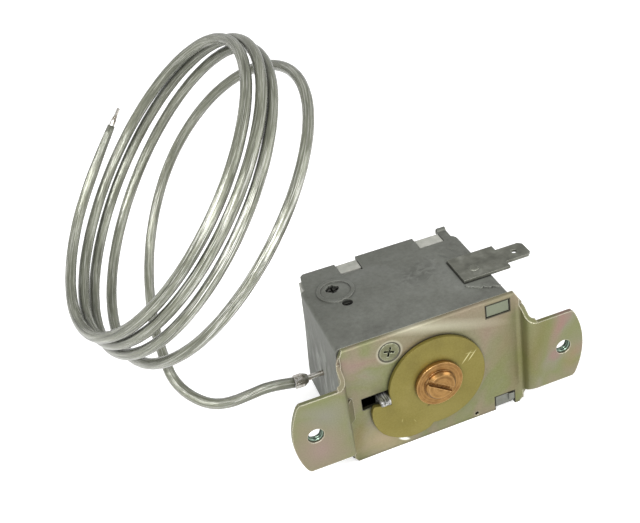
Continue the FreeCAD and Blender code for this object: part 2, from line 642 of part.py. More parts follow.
def make_case():
    # the walls run past their back edges and are then trimmed
    spare = 2.0
    back = CASE_BACK_Y + 2 * spare
    outer = box(CASE_LEFT_X, CASE_RIGHT_X, FACE_BACK_Y, CASE_BACK_Y + spare, -HALF_H, HALF_H)
    inner = box(CASE_IN_LEFT, CASE_IN_RIGHT, FACE_BACK_Y - spare, back, -CASE_IN_Z, CASE_IN_Z)
    long_edges = [e for e in outer.Edges if e.BoundBox.YLength > CASE_BACK_Y / 2]
    outer = outer.makeFillet(CASE_FOLD_R, long_edges)
    case = outer.cut(inner)

    left = CASE_LEFT_X - spare
    right = CASE_RIGHT_X + spare
    (n0, n1, n_front), (m0, m1, m_front) = NOTCHES
    top_line = [(left, TOP_CORNER[0][1])]
    top_line += [(CASE_LEFT_X + x, y) for x, y in TOP_CORNER]
    top_line += [(n0, CASE_BACK_Y), (n0, n_front), (n1, n_front), (n1, CASE_BACK_Y + TONGUE_EXTRA),
                 (m0, CASE_BACK_Y + TONGUE_EXTRA), (m0, m_front), (m1, m_front), (m1, HOOK_Y[1]),
                 (HOOK_X[1], HOOK_Y[1]), (HOOK_X[1], TOP_SHOULDER_Y), (right, CASE_RIGHT_BACK_Y - spare)]
    floor = HALF_H - CASE_SHEET - spare
    outline = [(x, y, floor) for x, y in top_line] + [(right, back, floor), (left, back, floor)]
    top_cut = prism(outline, vec(0, 0, CASE_SHEET + 2 * spare))
    side_line = [(SIDE_EDGE[0][0], HALF_H + spare)]
    side_line += [(y, HALF_H - down) for y, down in SIDE_EDGE]
    side_line += [(SIDE_EDGE[-1][0], -HALF_H - spare), (back, -HALF_H - spare), (back, HALF_H + spare)]
    side_width = TOP_CORNER[0][0] + spare
    side_cut = prism([(left, y, z) for y, z in side_line], vec(side_width, 0, 0))
    right_x = CASE_IN_RIGHT - CASE_FOLD_R
    right_cut = box(right_x, right, CASE_RIGHT_BACK_Y, back, -HALF_H - spare, floor + spare)
    low_cut = box(CASE_LEFT_X + side_width - spare, right_x, BASE_Y[1] + CASE_FOLD_R / 2, back,
                  -HALF_H - spare, -CASE_IN_Z + spare)
    case = case.cut(top_cut.fuse([side_cut, right_cut, low_cut]))

    y0 = FACE_BACK_Y
    y1 = FACE_BACK_Y + CASE_SHEET
    lug_y = FACE_SETBACK + LUG_SUNK
    proud_x = LOWER_WINDOW_X[1] - LUG_GAP
    adds = [
        box(FLANGE_RIGHT_X, CASE_IN_RIGHT, y0, y1, -CASE_IN_Z, CASE_IN_Z),
        box(CASE_IN_LEFT, FLANGE_LEFT_X, y0, y1, FLANGE_Z, CASE_IN_Z),
        box(CASE_IN_LEFT, FLANGE_LEFT_X, y0, y1, -CASE_IN_Z, -FLANGE_Z),
        box(UPPER_WINDOW_X[0] + LUG_GAP, UPPER_WINDOW_X[1] - LUG_GAP, lug_y, y1,
            UPPER_WINDOW_Z[0] + LUG_GAP, UPPER_WINDOW_Z[1] - LUG_GAP),
        box(LOWER_WINDOW_X[0] + LUG_GAP, proud_x, lug_y, y1,
            -HALF_H + LUG_RISE, LOWER_WINDOW_Z[1] - LUG_GAP),
        box(proud_x - PROUD_WIDTH, proud_x, FACE_SETBACK - LUG_PROUD, y1,
            -HALF_H + PROUD_RISE, LOWER_WINDOW_Z[1] - LUG_GAP),
    ]
    hook = box(HOOK_X[0], HOOK_X[1], HOOK_Y[0], HOOK_Y[1], CASE_IN_Z, HALF_H + HOOK_RISE)
    crests = [e for e in hook.Edges if e.BoundBox.ZMin > HALF_H and e.BoundBox.XLength > 1]
    adds.append(hook.makeFillet(HOOK_RISE * 0.9, crests))
    bx, by = BOSS_CENTRE
    ring = rod(BOSS_R[1], vec(bx, by, CASE_IN_Z), CASE_SHEET + BOSS_HEIGHT, UP)
    ring = ring.cut(rod(BOSS_R[0], vec(bx, by, HALF_H), 5, UP))
    adds.append(ring)
    length, width, height = RIB_SIZE
    root = CASE_SHEET / 2
    for i in range(RIB_COUNT):
        rib = Part.makeBox(length, width, height + root, vec(-length / 2, -width / 2, HALF_H - root))
        rib.rotate(vec(0, 0, 0), UP, RIB_DEG)
        rib.translate(vec(RIB_FIRST[0] + RIB_STEP[0] * i, RIB_FIRST[1] + RIB_STEP[1] * i, 0))
        adds.append(rib)
    case = case.fuse(adds).removeSplitter()

    deep = CASE_IN_Z - 1
    high = HALF_H + 2
    x, y, r = TRIM_SCREWS[0]
    long, short = [v / 2 for v in TRIM_CROSS]
    cuts = [box(x - long, x + long, y - short, y + short, deep, high),
            box(x - short, x + short, y - long, y + long, deep, high)]
    for x, y, r in TRIM_SCREWS:
        cuts.append(many_sided(r, vec(x, y, deep), 5, UP, 20))
    cuts.append(many_sided(EARTH_RIVET_R, vec(EARTH_RIVET[0], EARTH_RIVET[1], deep), 5, UP, RIVET_FLATS))
    cuts.append(many_sided(FACE_SCREW_R, vec(FACE_SCREW[0], FACE_BACK_Y - 1, FACE_SCREW[1]), 4, BACK,
                           FACE_SCREW_FLATS))
    cuts.append(many_sided(TUBE_R * 1.2, vec(CASE_LEFT_X - 1, ENTRY[0], ENTRY[1]), 3, RIGHT, 8))
    return case.cut(cuts[0].fuse(cuts[1:]))


def make_switch_base():
    y0, y1 = BASE_Y
    body = box(CASE_IN_LEFT + END_GAP, CASE_IN_RIGHT - END_GAP, y0, y1, -CASE_IN_Z, CASE_IN_Z)
    corner = prism([(CASE_IN_LEFT, y0 - 1, -CASE_IN_Z - 1), (CASE_IN_LEFT + 3, y0 - 1, -CASE_IN_Z - 1),
                    (CASE_IN_LEFT, y0 - 1, -CASE_IN_Z + 6)], vec(0, 8, 0))
    parts = [body.cut(corner)]
    for x0, x1, y in NOTCHES:
        parts.append(box(x0 + NOTCH_GAP, x1 - NOTCH_GAP, y0 + NOTCH_GAP, LUG_BACK_Y, CASE_IN_Z - 5,
                         HALF_H - LUG_TOP_SUNK))
    rail = CASE_IN_LEFT + END_GAP
    parts.append(box(rail, rail + BASE_RAIL_WIDTH, BASE_RAIL_Y, y0 + 1, -CASE_IN_Z, CASE_IN_Z))
    bar = box(GUIDE_BAR_X[0], GUIDE_BAR_X[1], GUIDE_BAR_Y[0], GUIDE_BAR_Y[1], -3, 3)
    leg = box(GUIDE_LEG_X, GUIDE_BAR_X[1], GUIDE_BAR_Y[0], y0 + 1, -3, 3)
    parts += [bar, leg]
    base = merged(parts)
    cuts = [rod(PLUNGER_R + RUNNING_GAP, vec(PLUNGER_X, GUIDE_BAR_Y[0] - 1, 0), 4, BACK)]
    for x, z in (LINE_TAB, LOAD_TAB):
        cuts.append(box(x - SLOT_FIT, x + TAB_WIDTH + SLOT_FIT, y0 - 1, y1 + 1,
                        z - SLOT_FIT, z + TAB_THICK + SLOT_FIT))
    return base.cut(cuts[0].fuse(cuts[1:]))


def flat_tab(x, z, start_y):
    c = TAB_TIP_CHAMFER
    tab = prism([(x, start_y, z), (x + TAB_WIDTH, start_y, z), (x + TAB_WIDTH, TAB_END_Y - c, z),
                 (x + TAB_WIDTH - c, TAB_END_Y, z), (x + c, TAB_END_Y, z), (x, TAB_END_Y - c, z)],
                vec(0, 0, TAB_THICK))
    return tab.cut(rod(TAB_HOLE_R, vec(x + TAB_WIDTH / 2, TAB_END_Y - 3.2, z - 1), 3, UP))


def make_line_terminal():
    x, z = LINE_TAB
    foot_y = LINE_FOOT_BACK_Y - TAB_THICK
    foot = box(x, BLADE_X[0] - END_GAP, foot_y, LINE_FOOT_BACK_Y, z, BLADE_HALF_Z)
    return merged([flat_tab(x, z, foot_y), foot])


def make_load_terminal():
    x, z = LOAD_TAB
    foot_y = BASE_Y[0] - TAB_THICK
    foot = box(x, x + TAB_WIDTH, foot_y, BASE_Y[0], z, BLADE_HALF_Z)
    return merged([flat_tab(x, z, foot_y), foot])


def make_blade():
    leaf = box(BLADE_X[0] + BLADE_ROOT_R, BLADE_X[1], BLADE_Y, BLADE_Y + BLADE_THICK,
               -BLADE_HALF_Z, BLADE_HALF_Z)
    root = vec(BLADE_X[0] + BLADE_ROOT_R, BLADE_Y + BLADE_THICK / 2, -BLADE_HALF_Z)
    return merged([leaf, rod(BLADE_ROOT_R, root, 2 * BLADE_HALF_Z, UP)])


def make_moving_contact():
    return many_sided(CONTACT_R, vec(CONTACT_X, BLADE_Y + BLADE_THICK, 0), MOVING_CONTACT_THICK, BACK, 12)


def make_fixed_contact():
    front = BLADE_Y + BLADE_THICK + MOVING_CONTACT_THICK + CONTACT_GAP
    return many_sided(CONTACT_R, vec(CONTACT_X, front, 0), BASE_Y[0] - TAB_THICK - front, BACK, 12)


def make_plunger():
    start = LEVER_ARM_Y + LEVER_THICK + PLUNGER_END_GAP
    return many_sided(PLUNGER_R, vec(PLUNGER_X, start, 0), BLADE_Y - PLUNGER_END_GAP - start, BACK, 12)


def make_lever():
    px, py = LEVER_PIN
    half = LEVER_THICK / 2
    parts = [
        many_sided(LEVER_KNUCKLE_R, vec(px, py, LEVER_Z[0]), LEVER_Z[1] - LEVER_Z[0], UP, 16),
        box(px - half, px + half, LEVER_LEG_Y, py, LEVER_Z[0], LEVER_Z[1]),
        box(px, LEVER_ARM_X, LEVER_ARM_Y, LEVER_ARM_Y + LEVER_THICK, -4, LEVER_Z[1]),
    ]
    return merged(parts).cut(rod(LEVER_PIN_R + RUNNING_GAP, vec(px, py, -HALF_H), FACE_HEIGHT, UP))


def make_lever_pin():
    return rod(LEVER_PIN_R, vec(LEVER_PIN[0], LEVER_PIN[1], -CASE_IN_Z), 2 * CASE_IN_Z, UP)


def bellows_end_x():
    return CASE_IN_LEFT + CUP_WALL + BELLOWS_LENGTH


def make_thrust_button():
    tip = bellows_end_x() + BUTTON_GAP
    face = LEVER_PIN[0] - LEVER_THICK / 2
    bevel = BUTTON_R / 3
    profile = [(tip, 0), (tip, BUTTON_R - bevel), (tip + bevel, BUTTON_R), (face, BUTTON_R), (face, 0)]
    return flatted(profile, vec(0, BELLOWS_Y, BELLOWS_Z), RIGHT, UP, 12)


def make_bellows_cup():
    x = CASE_IN_LEFT
    hole = TUBE_R + RUNNING_GAP
    profile = [(x, hole), (x, CUP_R), (x + CUP_LENGTH, CUP_R), (x + CUP_LENGTH, CUP_R - CUP_WALL),
               (x + CUP_WALL, CUP_R - CUP_WALL), (x + CUP_WALL, hole)]
    return flatted(profile, vec(0, BELLOWS_Y, BELLOWS_Z), RIGHT, UP, 16)


def make_bellows():
    x = CASE_IN_LEFT + CUP_WALL
    inner, outer = BELLOWS_R
    profile = [(x, TUBE_R + RUNNING_GAP), (x, inner)]
    pitch = (BELLOWS_LENGTH - 1.0) / BELLOWS_FOLDS
    for i in range(BELLOWS_FOLDS):
        start = x + 0.5 + pitch * i
        profile += [(start, inner), (start + pitch * 0.5, outer)]
    end = bellows_end_x()
    profile += [(end, inner), (end, 0), (end - 1.0, 0), (end - 1.0, TUBE_R + RUNNING_GAP)]
    return flatted(profile, vec(0, BELLOWS_Y, BELLOWS_Z), RIGHT, UP, 16)


def make_trim_plate():
    x0, x1 = [BOSS_CENTRE[0] + v for v in TRIM_PLATE_X]
    y0, y1 = [BOSS_CENTRE[1] + v for v in TRIM_PLATE_Y]
    z0 = CASE_IN_Z - TRIM_PLATE_DOWN
    parts = [box(x0, x1, y0, y1, z0, z0 + TRIM_PLATE_THICK)]
    for x in (x0, x1 - CHEEK_THICK):
        parts.append(box(x, x + CHEEK_THICK, y0, y1, z0, CASE_IN_Z))
    plate = merged(parts)
    for x, y, r in TRIM_SCREWS:
        plate = plate.cut(many_sided(TRIM_SCREW_R, vec(x, y, z0 - 1), 4, UP, TRIM_SCREW_FLATS))
    return plate


def make_trim_screw(x, y, cross):
    z0, z1 = [HALF_H - v for v in TRIM_SCREW_DOWN]
    head = z1 - TRIM_HEAD_THICK
    profile = [(z0, 0), (z0, TRIM_SCREW_R), (head, TRIM_SCREW_R), (head, TRIM_HEAD_R),
               (z1, TRIM_HEAD_R), (z1, 0)]
    screw = flatted(profile, vec(x, y, 0), UP, RIGHT, TRIM_SCREW_FLATS)
    cuts = [box(x - 2, x + 2, y - 0.25, y + 0.25, z1 - 0.8, z1 + 1)]
    if cross:
        cuts.append(box(x - 0.25, x + 0.25, y - 2, y + 2, z1 - 0.8, z1 + 1))
    return screw.cut(merged(cuts))


def make_face_screw():
    x, z = FACE_SCREW
    face = FACE_SETBACK + FACE_SCREW_BELOW
    slope = (FACE_SCREW_HEAD_R - SCREW_HOLE_R) / SHEET
    rim = FACE_SCREW_HEAD_R - FACE_SCREW_BELOW * slope
    profile = [(face, 0), (face, rim), (FACE_BACK_Y, SCREW_HOLE_R),
               (FACE_BACK_Y, FACE_SCREW_R), (FACE_SCREW_END_Y, FACE_SCREW_R), (FACE_SCREW_END_Y, 0)]
    screw = flatted(profile, vec(x, 0, z), BACK, UP, FACE_SCREW_FLATS)
    cuts = []
    for turn in (20, 110):
        bar = box(-1.5, 1.5, FACE_SETBACK - 0.5, FACE_SETBACK + 0.9, -0.3, 0.3)
        bar.rotate(vec(0, 0, 0), BACK, turn)
        bar.translate(vec(x, 0, z))
        cuts.append(bar)
    return screw.cut(merged(cuts))


def make_earth_terminal():
    x0, x1 = EARTH_WIDE_X
    y0, y1 = EARTH_WIDE_Y
    low = EARTH_TAB_Y - TAB_WIDTH / 2
    high = EARTH_TAB_Y + TAB_WIDTH / 2
    c = TAB_TIP_CHAMFER
    z = HALF_H
    outline = [(x0, y0, z), (x1, y0, z), (x1, low, z), (EARTH_TIP_X - c, low, z),
               (EARTH_TIP_X, low + c, z), (EARTH_TIP_X, high - c, z), (EARTH_TIP_X - c, high, z),
               (x1, high, z), (x1, y1, z), (x0, y1, z)]
    tab = prism(outline, vec(0, 0, TAB_THICK))
    tab = tab.cut(rod(TAB_HOLE_R, vec(EARTH_HOLE_X, EARTH_TAB_Y, z - 1), 4, UP))
    return tab.cut(many_sided(EARTH_RIVET_R, vec(EARTH_RIVET[0], EARTH_RIVET[1], z - 1), 4, UP, RIVET_FLATS))


def make_earth_rivet():
    top = HALF_H + TAB_THICK
    profile = [(CASE_IN_Z - 0.8, 0), (CASE_IN_Z - 0.8, 1.9), (CASE_IN_Z, 1.9),
               (CASE_IN_Z, EARTH_RIVET_R), (top, EARTH_RIVET_R), (top, 1.5), (top + 0.25, 1.1),
               (top + 0.25, 0)]
    return flatted(profile, vec(EARTH_RIVET[0], EARTH_RIVET[1], 0), UP, RIGHT, RIVET_FLATS)


def station(turn):
    """Smooth reading of the station table at a place in turns."""
    last = len(STATIONS) - 1
    place = min(max(turn / STATION_STEP, 0.0), last - 1e-9)
    i = int(place)
    f = place - i
    rows = [STATIONS[min(max(i + k, 0), last)] for k in (-1, 0, 1, 2)]
    out = []
    for a, b, c, d in zip(*rows):
        out.append(b + 0.5 * f * (c - a + f * (2 * a - 5 * b + 4 * c - d + f * (3 * (b - c) + d - a))))
    return out


def coil_point(turn):
    normal = vec(*COIL_NORMAL)
    normal.normalize()
    rise = UP - normal * normal.z
    rise.normalize()
    across = rise.cross(normal)
    along, sideways, up, radius = station(turn)
    a = 2 * math.pi * turn
    return (vec(*COIL_CENTRE) - normal * along + across * (sideways + radius * math.sin(a))
            + rise * (up - radius * math.cos(a)))


def capillary_points():
    points = [vec(FERRULE_X[0] - SLEEVE_START, ENTRY[0], ENTRY[1])]
    points += [vec(*p) for p in RUN_POINTS]
    count = round((LAST_TURN - FIRST_TURN) * POINTS_PER_TURN)
    for i in range(count + 1):
        points.append(coil_point(FIRST_TURN + (LAST_TURN - FIRST_TURN) * i / count))
    return points


def make_capillary():
    points = capillary_points()
    sleeve, length, radius = swept(points, SLEEVE_R, SLEEVE_SIDES)
    section = 0.5 * SLEEVE_SIDES * SLEEVE_R ** 2 * math.sin(2 * math.pi / SLEEVE_SIDES)
    print("capillary sleeve length %.1f smallest bend %.2f volume %.1f against %.1f"
          % (length, radius, sleeve.Volume, section * length))
    return sleeve, points


def make_capillary_entry():
    start = vec(CASE_IN_LEFT + CUP_WALL * 2, ENTRY[0], ENTRY[1])
    return rod(TUBE_R, start, start.x - FERRULE_X[1] + 1.0, vec(-1, 0, 0))


def make_ferrule():
    x0, x1 = FERRULE_X
    neck = x1 - FERRULE_NECK
    profile = [(x0, 0), (x0, FERRULE_R - RUNNING_GAP), (neck, FERRULE_R), (x1, TUBE_R * 1.5), (x1, 0)]
    crimp = flatted(profile, vec(0, ENTRY[0], ENTRY[1]), RIGHT, UP, 8)
    return crimp.cut(rod(TUBE_R, vec(x1 - 1.0, ENTRY[0], ENTRY[1]), 3, RIGHT))


def make_tip(points):
    end = points[-1]
    along = end - points[-2]
    along.normalize()
    wide = along.cross(vec(*COIL_NORMAL))
    wide.normalize()
    thin = along.cross(wide)
    wires = []
    for place, w, t in ((0, TUBE_R, TUBE_R), (TIP_ROUND, TUBE_R, TUBE_R),
                        (TIP_PINCH, TIP_FLAT[0], TIP_FLAT[1]), (TIP_LENGTH, TIP_FLAT[0], TIP_FLAT[1])):
        ring = []
        for i in range(8):
            a = 2 * math.pi * i / 8
            ring.append(end + along * place + wide * (w * math.cos(a)) + thin * (t * math.sin(a)))
        wires.append(Part.makePolygon(ring + [ring[0]]))
    return Part.makeLoft(wires, True, True)


os.makedirs("parts", exist_ok=True)
sleeve_shape, route = make_capillary()
SHAPES = {
    "mounting_plate": make_bracket(),
    "spindle_bush": make_bush(),
    "range_spindle": make_spindle(),
    "stop_disc": make_stop_disc(),
    "spindle_clip": make_clip(),
    "stop_pin": make_stop_pin(),
    "nut_guide": make_nut_guide(),
    "range_nut": make_nut(),
    "range_spring": make_range_spring(),
    "case": make_case(),
    "switch_base": make_switch_base(),
    "line_terminal": make_line_terminal(),
    "load_terminal": make_load_terminal(),
    "contact_blade": make_blade(),
    "moving_contact": make_moving_contact(),
    "fixed_contact": make_fixed_contact(),
    "switch_plunger": make_plunger(),
    "main_lever": make_lever(),
    "lever_pin": make_lever_pin(),
    "thrust_button": make_thrust_button(),
    "bellows_cup": make_bellows_cup(),
    "bellows": make_bellows(),
    "trim_plate": make_trim_plate(),
    "range_trim_screw": make_trim_screw(TRIM_SCREWS[0][0], TRIM_SCREWS[0][1], True),
    "differential_screw": make_trim_screw(TRIM_SCREWS[1][0], TRIM_SCREWS[1][1], False),
    "face_screw": make_face_screw(),
    "earth_terminal": make_earth_terminal(),
    "earth_rivet": make_earth_rivet(),
    "capillary_entry": make_capillary_entry(),
    "capillary_ferrule": make_ferrule(),
    "capillary_sleeve": sleeve_shape,
    "capillary_tip": make_tip(route),
}
for name, shape in SHAPES.items():
    solid = shape.Solids[0] if len(shape.Solids) == 1 else shape
    print("%-20s solids %d valid %s volume %.1f" % (name, len(shape.Solids), shape.isValid(), shape.Volume))
    solid.exportStep("parts/%s.step" % name)
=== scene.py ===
# Dressed view of a capillary thermostat: every node of the frame gets its finish here. The
# capillary's sleeve and the range spring are modelled again as round forms, and the ear holes get
# their threads.
import math

import bpy
import numpy as np
from mathutils import Matrix, Vector


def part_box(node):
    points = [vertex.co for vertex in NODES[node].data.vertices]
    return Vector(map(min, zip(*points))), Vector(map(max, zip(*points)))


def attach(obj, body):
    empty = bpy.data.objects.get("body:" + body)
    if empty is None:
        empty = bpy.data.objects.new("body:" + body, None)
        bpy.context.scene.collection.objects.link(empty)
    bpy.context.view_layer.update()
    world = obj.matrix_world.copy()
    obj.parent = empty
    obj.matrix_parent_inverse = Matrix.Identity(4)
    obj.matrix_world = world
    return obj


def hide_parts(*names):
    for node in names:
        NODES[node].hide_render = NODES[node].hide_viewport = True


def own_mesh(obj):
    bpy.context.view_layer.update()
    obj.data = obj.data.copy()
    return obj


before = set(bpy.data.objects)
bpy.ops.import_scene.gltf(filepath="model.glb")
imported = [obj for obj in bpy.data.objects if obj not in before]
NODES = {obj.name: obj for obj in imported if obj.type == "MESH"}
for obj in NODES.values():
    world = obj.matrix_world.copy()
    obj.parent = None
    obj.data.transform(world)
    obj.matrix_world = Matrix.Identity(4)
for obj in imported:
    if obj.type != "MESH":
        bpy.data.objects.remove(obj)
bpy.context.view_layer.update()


# Stage
# The thermostat stands on its flat underside on a plain pale table, in front of a
# white room. The floor shows near white to the camera and keeps a soft shadow.
FLOOR_Z = -0.0185
FLOOR_HALF = 1.6


def tone(red, green, blue):
    """A display colour, 0 to 255 a channel, as the linear colour that a shader takes."""
    out = []
    for value in (red, green, blue):
        v = value / 255.0
        out.append(v / 12.92 if v <= 0.04045 else ((v + 0.055) / 1.055) ** 2.4)
    return (*out, 1.0)


def add_mesh(name, verts, faces, smooth=True):
    mesh = bpy.data.meshes.new(name)
    mesh.from_pydata([tuple(v) for v in verts], [], faces)
    mesh.validate()
    if smooth:
        mesh.polygons.foreach_set("use_smooth", [True] * len(mesh.polygons))
    obj = bpy.data.objects.new(name, mesh)
    bpy.context.scene.collection.objects.link(obj)
    return obj


class Graph:
    """One node material: adds nodes and joins them, so that each finish below stays short."""

    def __init__(self, name):
        self.material = bpy.data.materials.new(name)
        self.material.use_nodes = True
        self.tree = self.material.node_tree
        self.shader = self.tree.nodes["Principled BSDF"]
        self.output = self.tree.nodes["Material Output"]

    def add(self, kind, **settings):
        node = self.tree.nodes.new("ShaderNode" + kind)
        for key, value in settings.items():
            setattr(node, key, value)
        return node

    def join(self, source, target):
        self.tree.links.new(source, target)

    def coords(self, scale=(1, 1, 1), turn=(0, 0, 0)):
        place = self.add("TexCoord")
        shift = self.add("Mapping")
        shift.inputs["Scale"].default_value = scale
        shift.inputs["Rotation"].default_value = turn
        self.join(place.outputs["Object"], shift.inputs["Vector"])
        return shift.outputs["Vector"]

    def noise(self, vector, scale, detail=3.0, rough=0.5, warp=0.0):
        node = self.add("TexNoise")
        node.inputs["Scale"].default_value = scale
        node.inputs["Detail"].default_value = detail
        node.inputs["Roughness"].default_value = rough
        node.inputs["Distortion"].default_value = warp
        self.join(vector, node.inputs["Vector"])
        return node.outputs["Fac"]

    def ramp(self, value, stops):
        node = self.add("ValToRGB")
        ramp = node.color_ramp
        while len(ramp.elements) < len(stops):
            ramp.elements.new(0.5)
        for element, (place, colour) in zip(ramp.elements, stops):
            element.position = place
            element.color = colour if not isinstance(colour, float) else (colour, colour, colour, 1)
        self.join(value, node.inputs["Fac"])
        return node.outputs["Color"]

    def mix(self, amount, first, second):
        node = self.add("Mix", data_type="RGBA")
        for socket, value in ((node.inputs[0], amount), (node.inputs[6], first), (node.inputs[7], second)):
            if isinstance(value, (float, int, tuple)):
                socket.default_value = value
            else:
                self.join(value, socket)
        return node.outputs[2]

    def number(self, how, first, second):
        node = self.add("Math", operation=how)
        for socket, value in zip(node.inputs, (first, second)):
            if isinstance(value, (float, int)):
                socket.default_value = value
            else:
                self.join(value, socket)
        return node.outputs[0]

    def mark(self, centre, size, turn, soft=0.5, square=False):
        """White inside a turned oval or box about a place, in millimetres, soft at its rim."""
        place = self.add("TexCoord")
        local = self.add("Mapping", vector_type="TEXTURE")
        local.inputs["Location"].default_value = [v / 1000.0 for v in centre]
        local.inputs["Rotation"].default_value = turn
        local.inputs["Scale"].default_value = [v / 2000.0 for v in size]
        self.join(place.outputs["Object"], local.inputs["Vector"])
        size_of = self.add("VectorMath", operation="ABSOLUTE" if square else "LENGTH")
        self.join(local.outputs["Vector"], size_of.inputs[0])
        if square:
            parts = self.add("SeparateXYZ")
            self.join(size_of.outputs["Vector"], parts.inputs[0])
            far = self.number("MAXIMUM", parts.outputs["X"], parts.outputs["Y"])
            far = self.number("MAXIMUM", far, parts.outputs["Z"])
        else:
            far = size_of.outputs["Value"]
        rim = self.add("MapRange")
        rim.inputs["From Min"].default_value = 1.0
        rim.inputs["From Max"].default_value = 1.0 - soft
        self.join(far, rim.inputs["Value"])
        return rim.outputs["Result"]

    def bump(self, height, strength, distance, normal=None):
        node = self.add("Bump")
        node.inputs["Strength"].default_value = strength
        node.inputs["Distance"].default_value = distance
        self.join(height, node.inputs["Height"])
        if normal is not None:
            self.join(normal, node.inputs["Normal"])
        return node.outputs["Normal"]


floor = add_mesh("floor", [(-FLOOR_HALF, -FLOOR_HALF, FLOOR_Z), (FLOOR_HALF, -FLOOR_HALF, FLOOR_Z),
                           (FLOOR_HALF, FLOOR_HALF, FLOOR_Z), (-FLOOR_HALF, FLOOR_HALF, FLOOR_Z)],
                 [(0, 1, 2, 3)])
paper = Graph("pale_table")
paper.shader.inputs["Base Color"].default_value = (0.80, 0.80, 0.80, 1)
paper.shader.inputs["Roughness"].default_value = 0.9
glow = paper.add("Emission")
glow.inputs["Color"].default_value = (1, 1, 1, 1)
rays = paper.add("LightPath")
seen = paper.number("MAXIMUM", rays.outputs["Is Camera Ray"], rays.outputs["Is Transmission Ray"])
paper.join(paper.number("MULTIPLY", seen, 0.50), glow.inputs["Strength"])
both = paper.add("AddShader")
paper.join(paper.shader.outputs[0], both.inputs[0])
paper.join(glow.outputs[0], both.inputs[1])
paper.join(both.outputs[0], paper.output.inputs["Surface"])
floor.data.materials.append(paper.material)

world = bpy.data.worlds.new("white_room")
bpy.context.scene.world = world
world.use_nodes = True
sky = world.node_tree
backdrop = sky.nodes["Background"]
backdrop.inputs["Color"].default_value = (1, 1, 1, 1)
path = sky.nodes.new("ShaderNodeLightPath")
top = sky.nodes.new("ShaderNodeMath")
top.operation = "MAXIMUM"
sky.links.new(path.outputs["Is Camera Ray"], top.inputs[0])
sky.links.new(path.outputs["Is Transmission Ray"], top.inputs[1])
level = sky.nodes.new("ShaderNodeMapRange")
level.inputs["To Min"].default_value = 0.55
level.inputs["To Max"].default_value = 1.0
sky.links.new(top.outputs[0], level.inputs["Value"])
sky.links.new(level.outputs["Result"], backdrop.inputs["Strength"])

# Two soft boxes and a small front light, aimed at the middle of the plate.
LAMPS = (
    ("key_left", (-0.45, -0.35, 0.70), 0.45, 6.5),
    ("fill_right", (0.60, -0.30, 0.35), 0.50, 2.4),
    ("front_low", (-0.10, -0.75, 0.25), 0.40, 3.5),
)
for name, place, width, watts in LAMPS:
    light = bpy.data.lights.new(name, "AREA")
    light.shape = "DISK"
    light.size = width
    light.energy = watts
    lamp = bpy.data.objects.new(name, light)
    lamp.location = place
    lamp.rotation_euler = (Vector((-0.02, 0.02, 0.02)) - Vector(place)).to_track_quat("-Z", "Y").to_euler()
    bpy.context.scene.collection.objects.link(lamp)

# The camera stands high on the left, about 26 cm from the plate.
view = bpy.data.cameras.new("camera")
view.sensor_width = 36.0
view.lens = 55.62
view.shift_x = -0.0824
view.shift_y = -0.1221
view.clip_start = 0.01
camera = bpy.data.objects.new("camera", view)
camera.matrix_world = Matrix((
    (0.92453, 0.27167, -0.26729, -0.070375),
    (-0.36469, 0.42694, -0.82748, -0.180571),
    (-0.11068, 0.86251, 0.49379, 0.172917),
    (0, 0, 0, 1)))
bpy.context.scene.collection.objects.link(camera)
bpy.context.scene.camera = camera
bpy.context.scene.view_settings.view_transform = "Standard"


def dress(material, *names):
    """Puts one finish on nodes of the frame."""
    for node_name in names:
        obj = NODES[node_name]
        obj.data.materials.clear()
        obj.data.materials.append(material)


# Slightly rounded edges that every sheet and turned piece shares: a bevelled normal, and
# a mask that is white along the edges, which most finishes below use for a painted highlight along their edges.
edge_group = bpy.data.node_groups.new("rounded_edges", "ShaderNodeTree")
edge_group.interface.new_socket("Radius", in_out="INPUT", socket_type="NodeSocketFloat")
edge_group.interface.new_socket("Normal", in_out="OUTPUT", socket_type="NodeSocketVector")
edge_group.interface.new_socket("Edge", in_out="OUTPUT", socket_type="NodeSocketFloat")
ends = edge_group.nodes.new("NodeGroupInput"), edge_group.nodes.new("NodeGroupOutput")
soft = edge_group.nodes.new("ShaderNodeBevel")
soft.samples = 4
flat = edge_group.nodes.new("ShaderNodeNewGeometry")
dot = edge_group.nodes.new("ShaderNodeVectorMath")
dot.operation = "DOT_PRODUCT"
spread = edge_group.nodes.new("ShaderNodeMapRange")
spread.inputs["From Min"].default_value = 1.0
spread.inputs["From Max"].default_value = 0.80
edge_group.links.new(ends[0].outputs["Radius"], soft.inputs["Radius"])
edge_group.links.new(soft.outputs["Normal"], dot.inputs[0])
edge_group.links.new(flat.outputs["Normal"], dot.inputs[1])
edge_group.links.new(dot.outputs["Value"], spread.inputs["Value"])
edge_group.links.new(soft.outputs["Normal"], ends[1].inputs["Normal"])
edge_group.links.new(spread.outputs["Result"], ends[1].inputs["Edge"])


def rounded_edges(graph, radius):
    node = graph.add("Group", node_tree=edge_group)
    node.inputs["Radius"].default_value = radius
    return node.outputs["Normal"], node.outputs["Edge"]


# Painted shade in joints and corners that the visible pieces share: an ambient occlusion mask that is
# white where another surface stands close, used to darken the colour there.
crevice_shade_group = bpy.data.node_groups.new("painted_crevice_shade", "ShaderNodeTree")
crevice_shade_group.interface.new_socket("Reach", in_out="INPUT", socket_type="NodeSocketFloat")
crevice_shade_group.interface.new_socket("CreviceShade", in_out="OUTPUT", socket_type="NodeSocketFloat")
crevice_shade_ends = crevice_shade_group.nodes.new("NodeGroupInput"), crevice_shade_group.nodes.new("NodeGroupOutput")
near = crevice_shade_group.nodes.new("ShaderNodeAmbientOcclusion")
near.samples = 8
tone_down = crevice_shade_group.nodes.new("ShaderNodeMapRange")
tone_down.inputs["From Min"].default_value = 0.85
tone_down.inputs["From Max"].default_value = 0.25
crevice_shade_group.links.new(crevice_shade_ends[0].outputs["Reach"], near.inputs["Distance"])
crevice_shade_group.links.new(near.outputs["AO"], tone_down.inputs["Value"])
crevice_shade_group.links.new(tone_down.outputs["Result"], crevice_shade_ends[1].inputs["CreviceShade"])


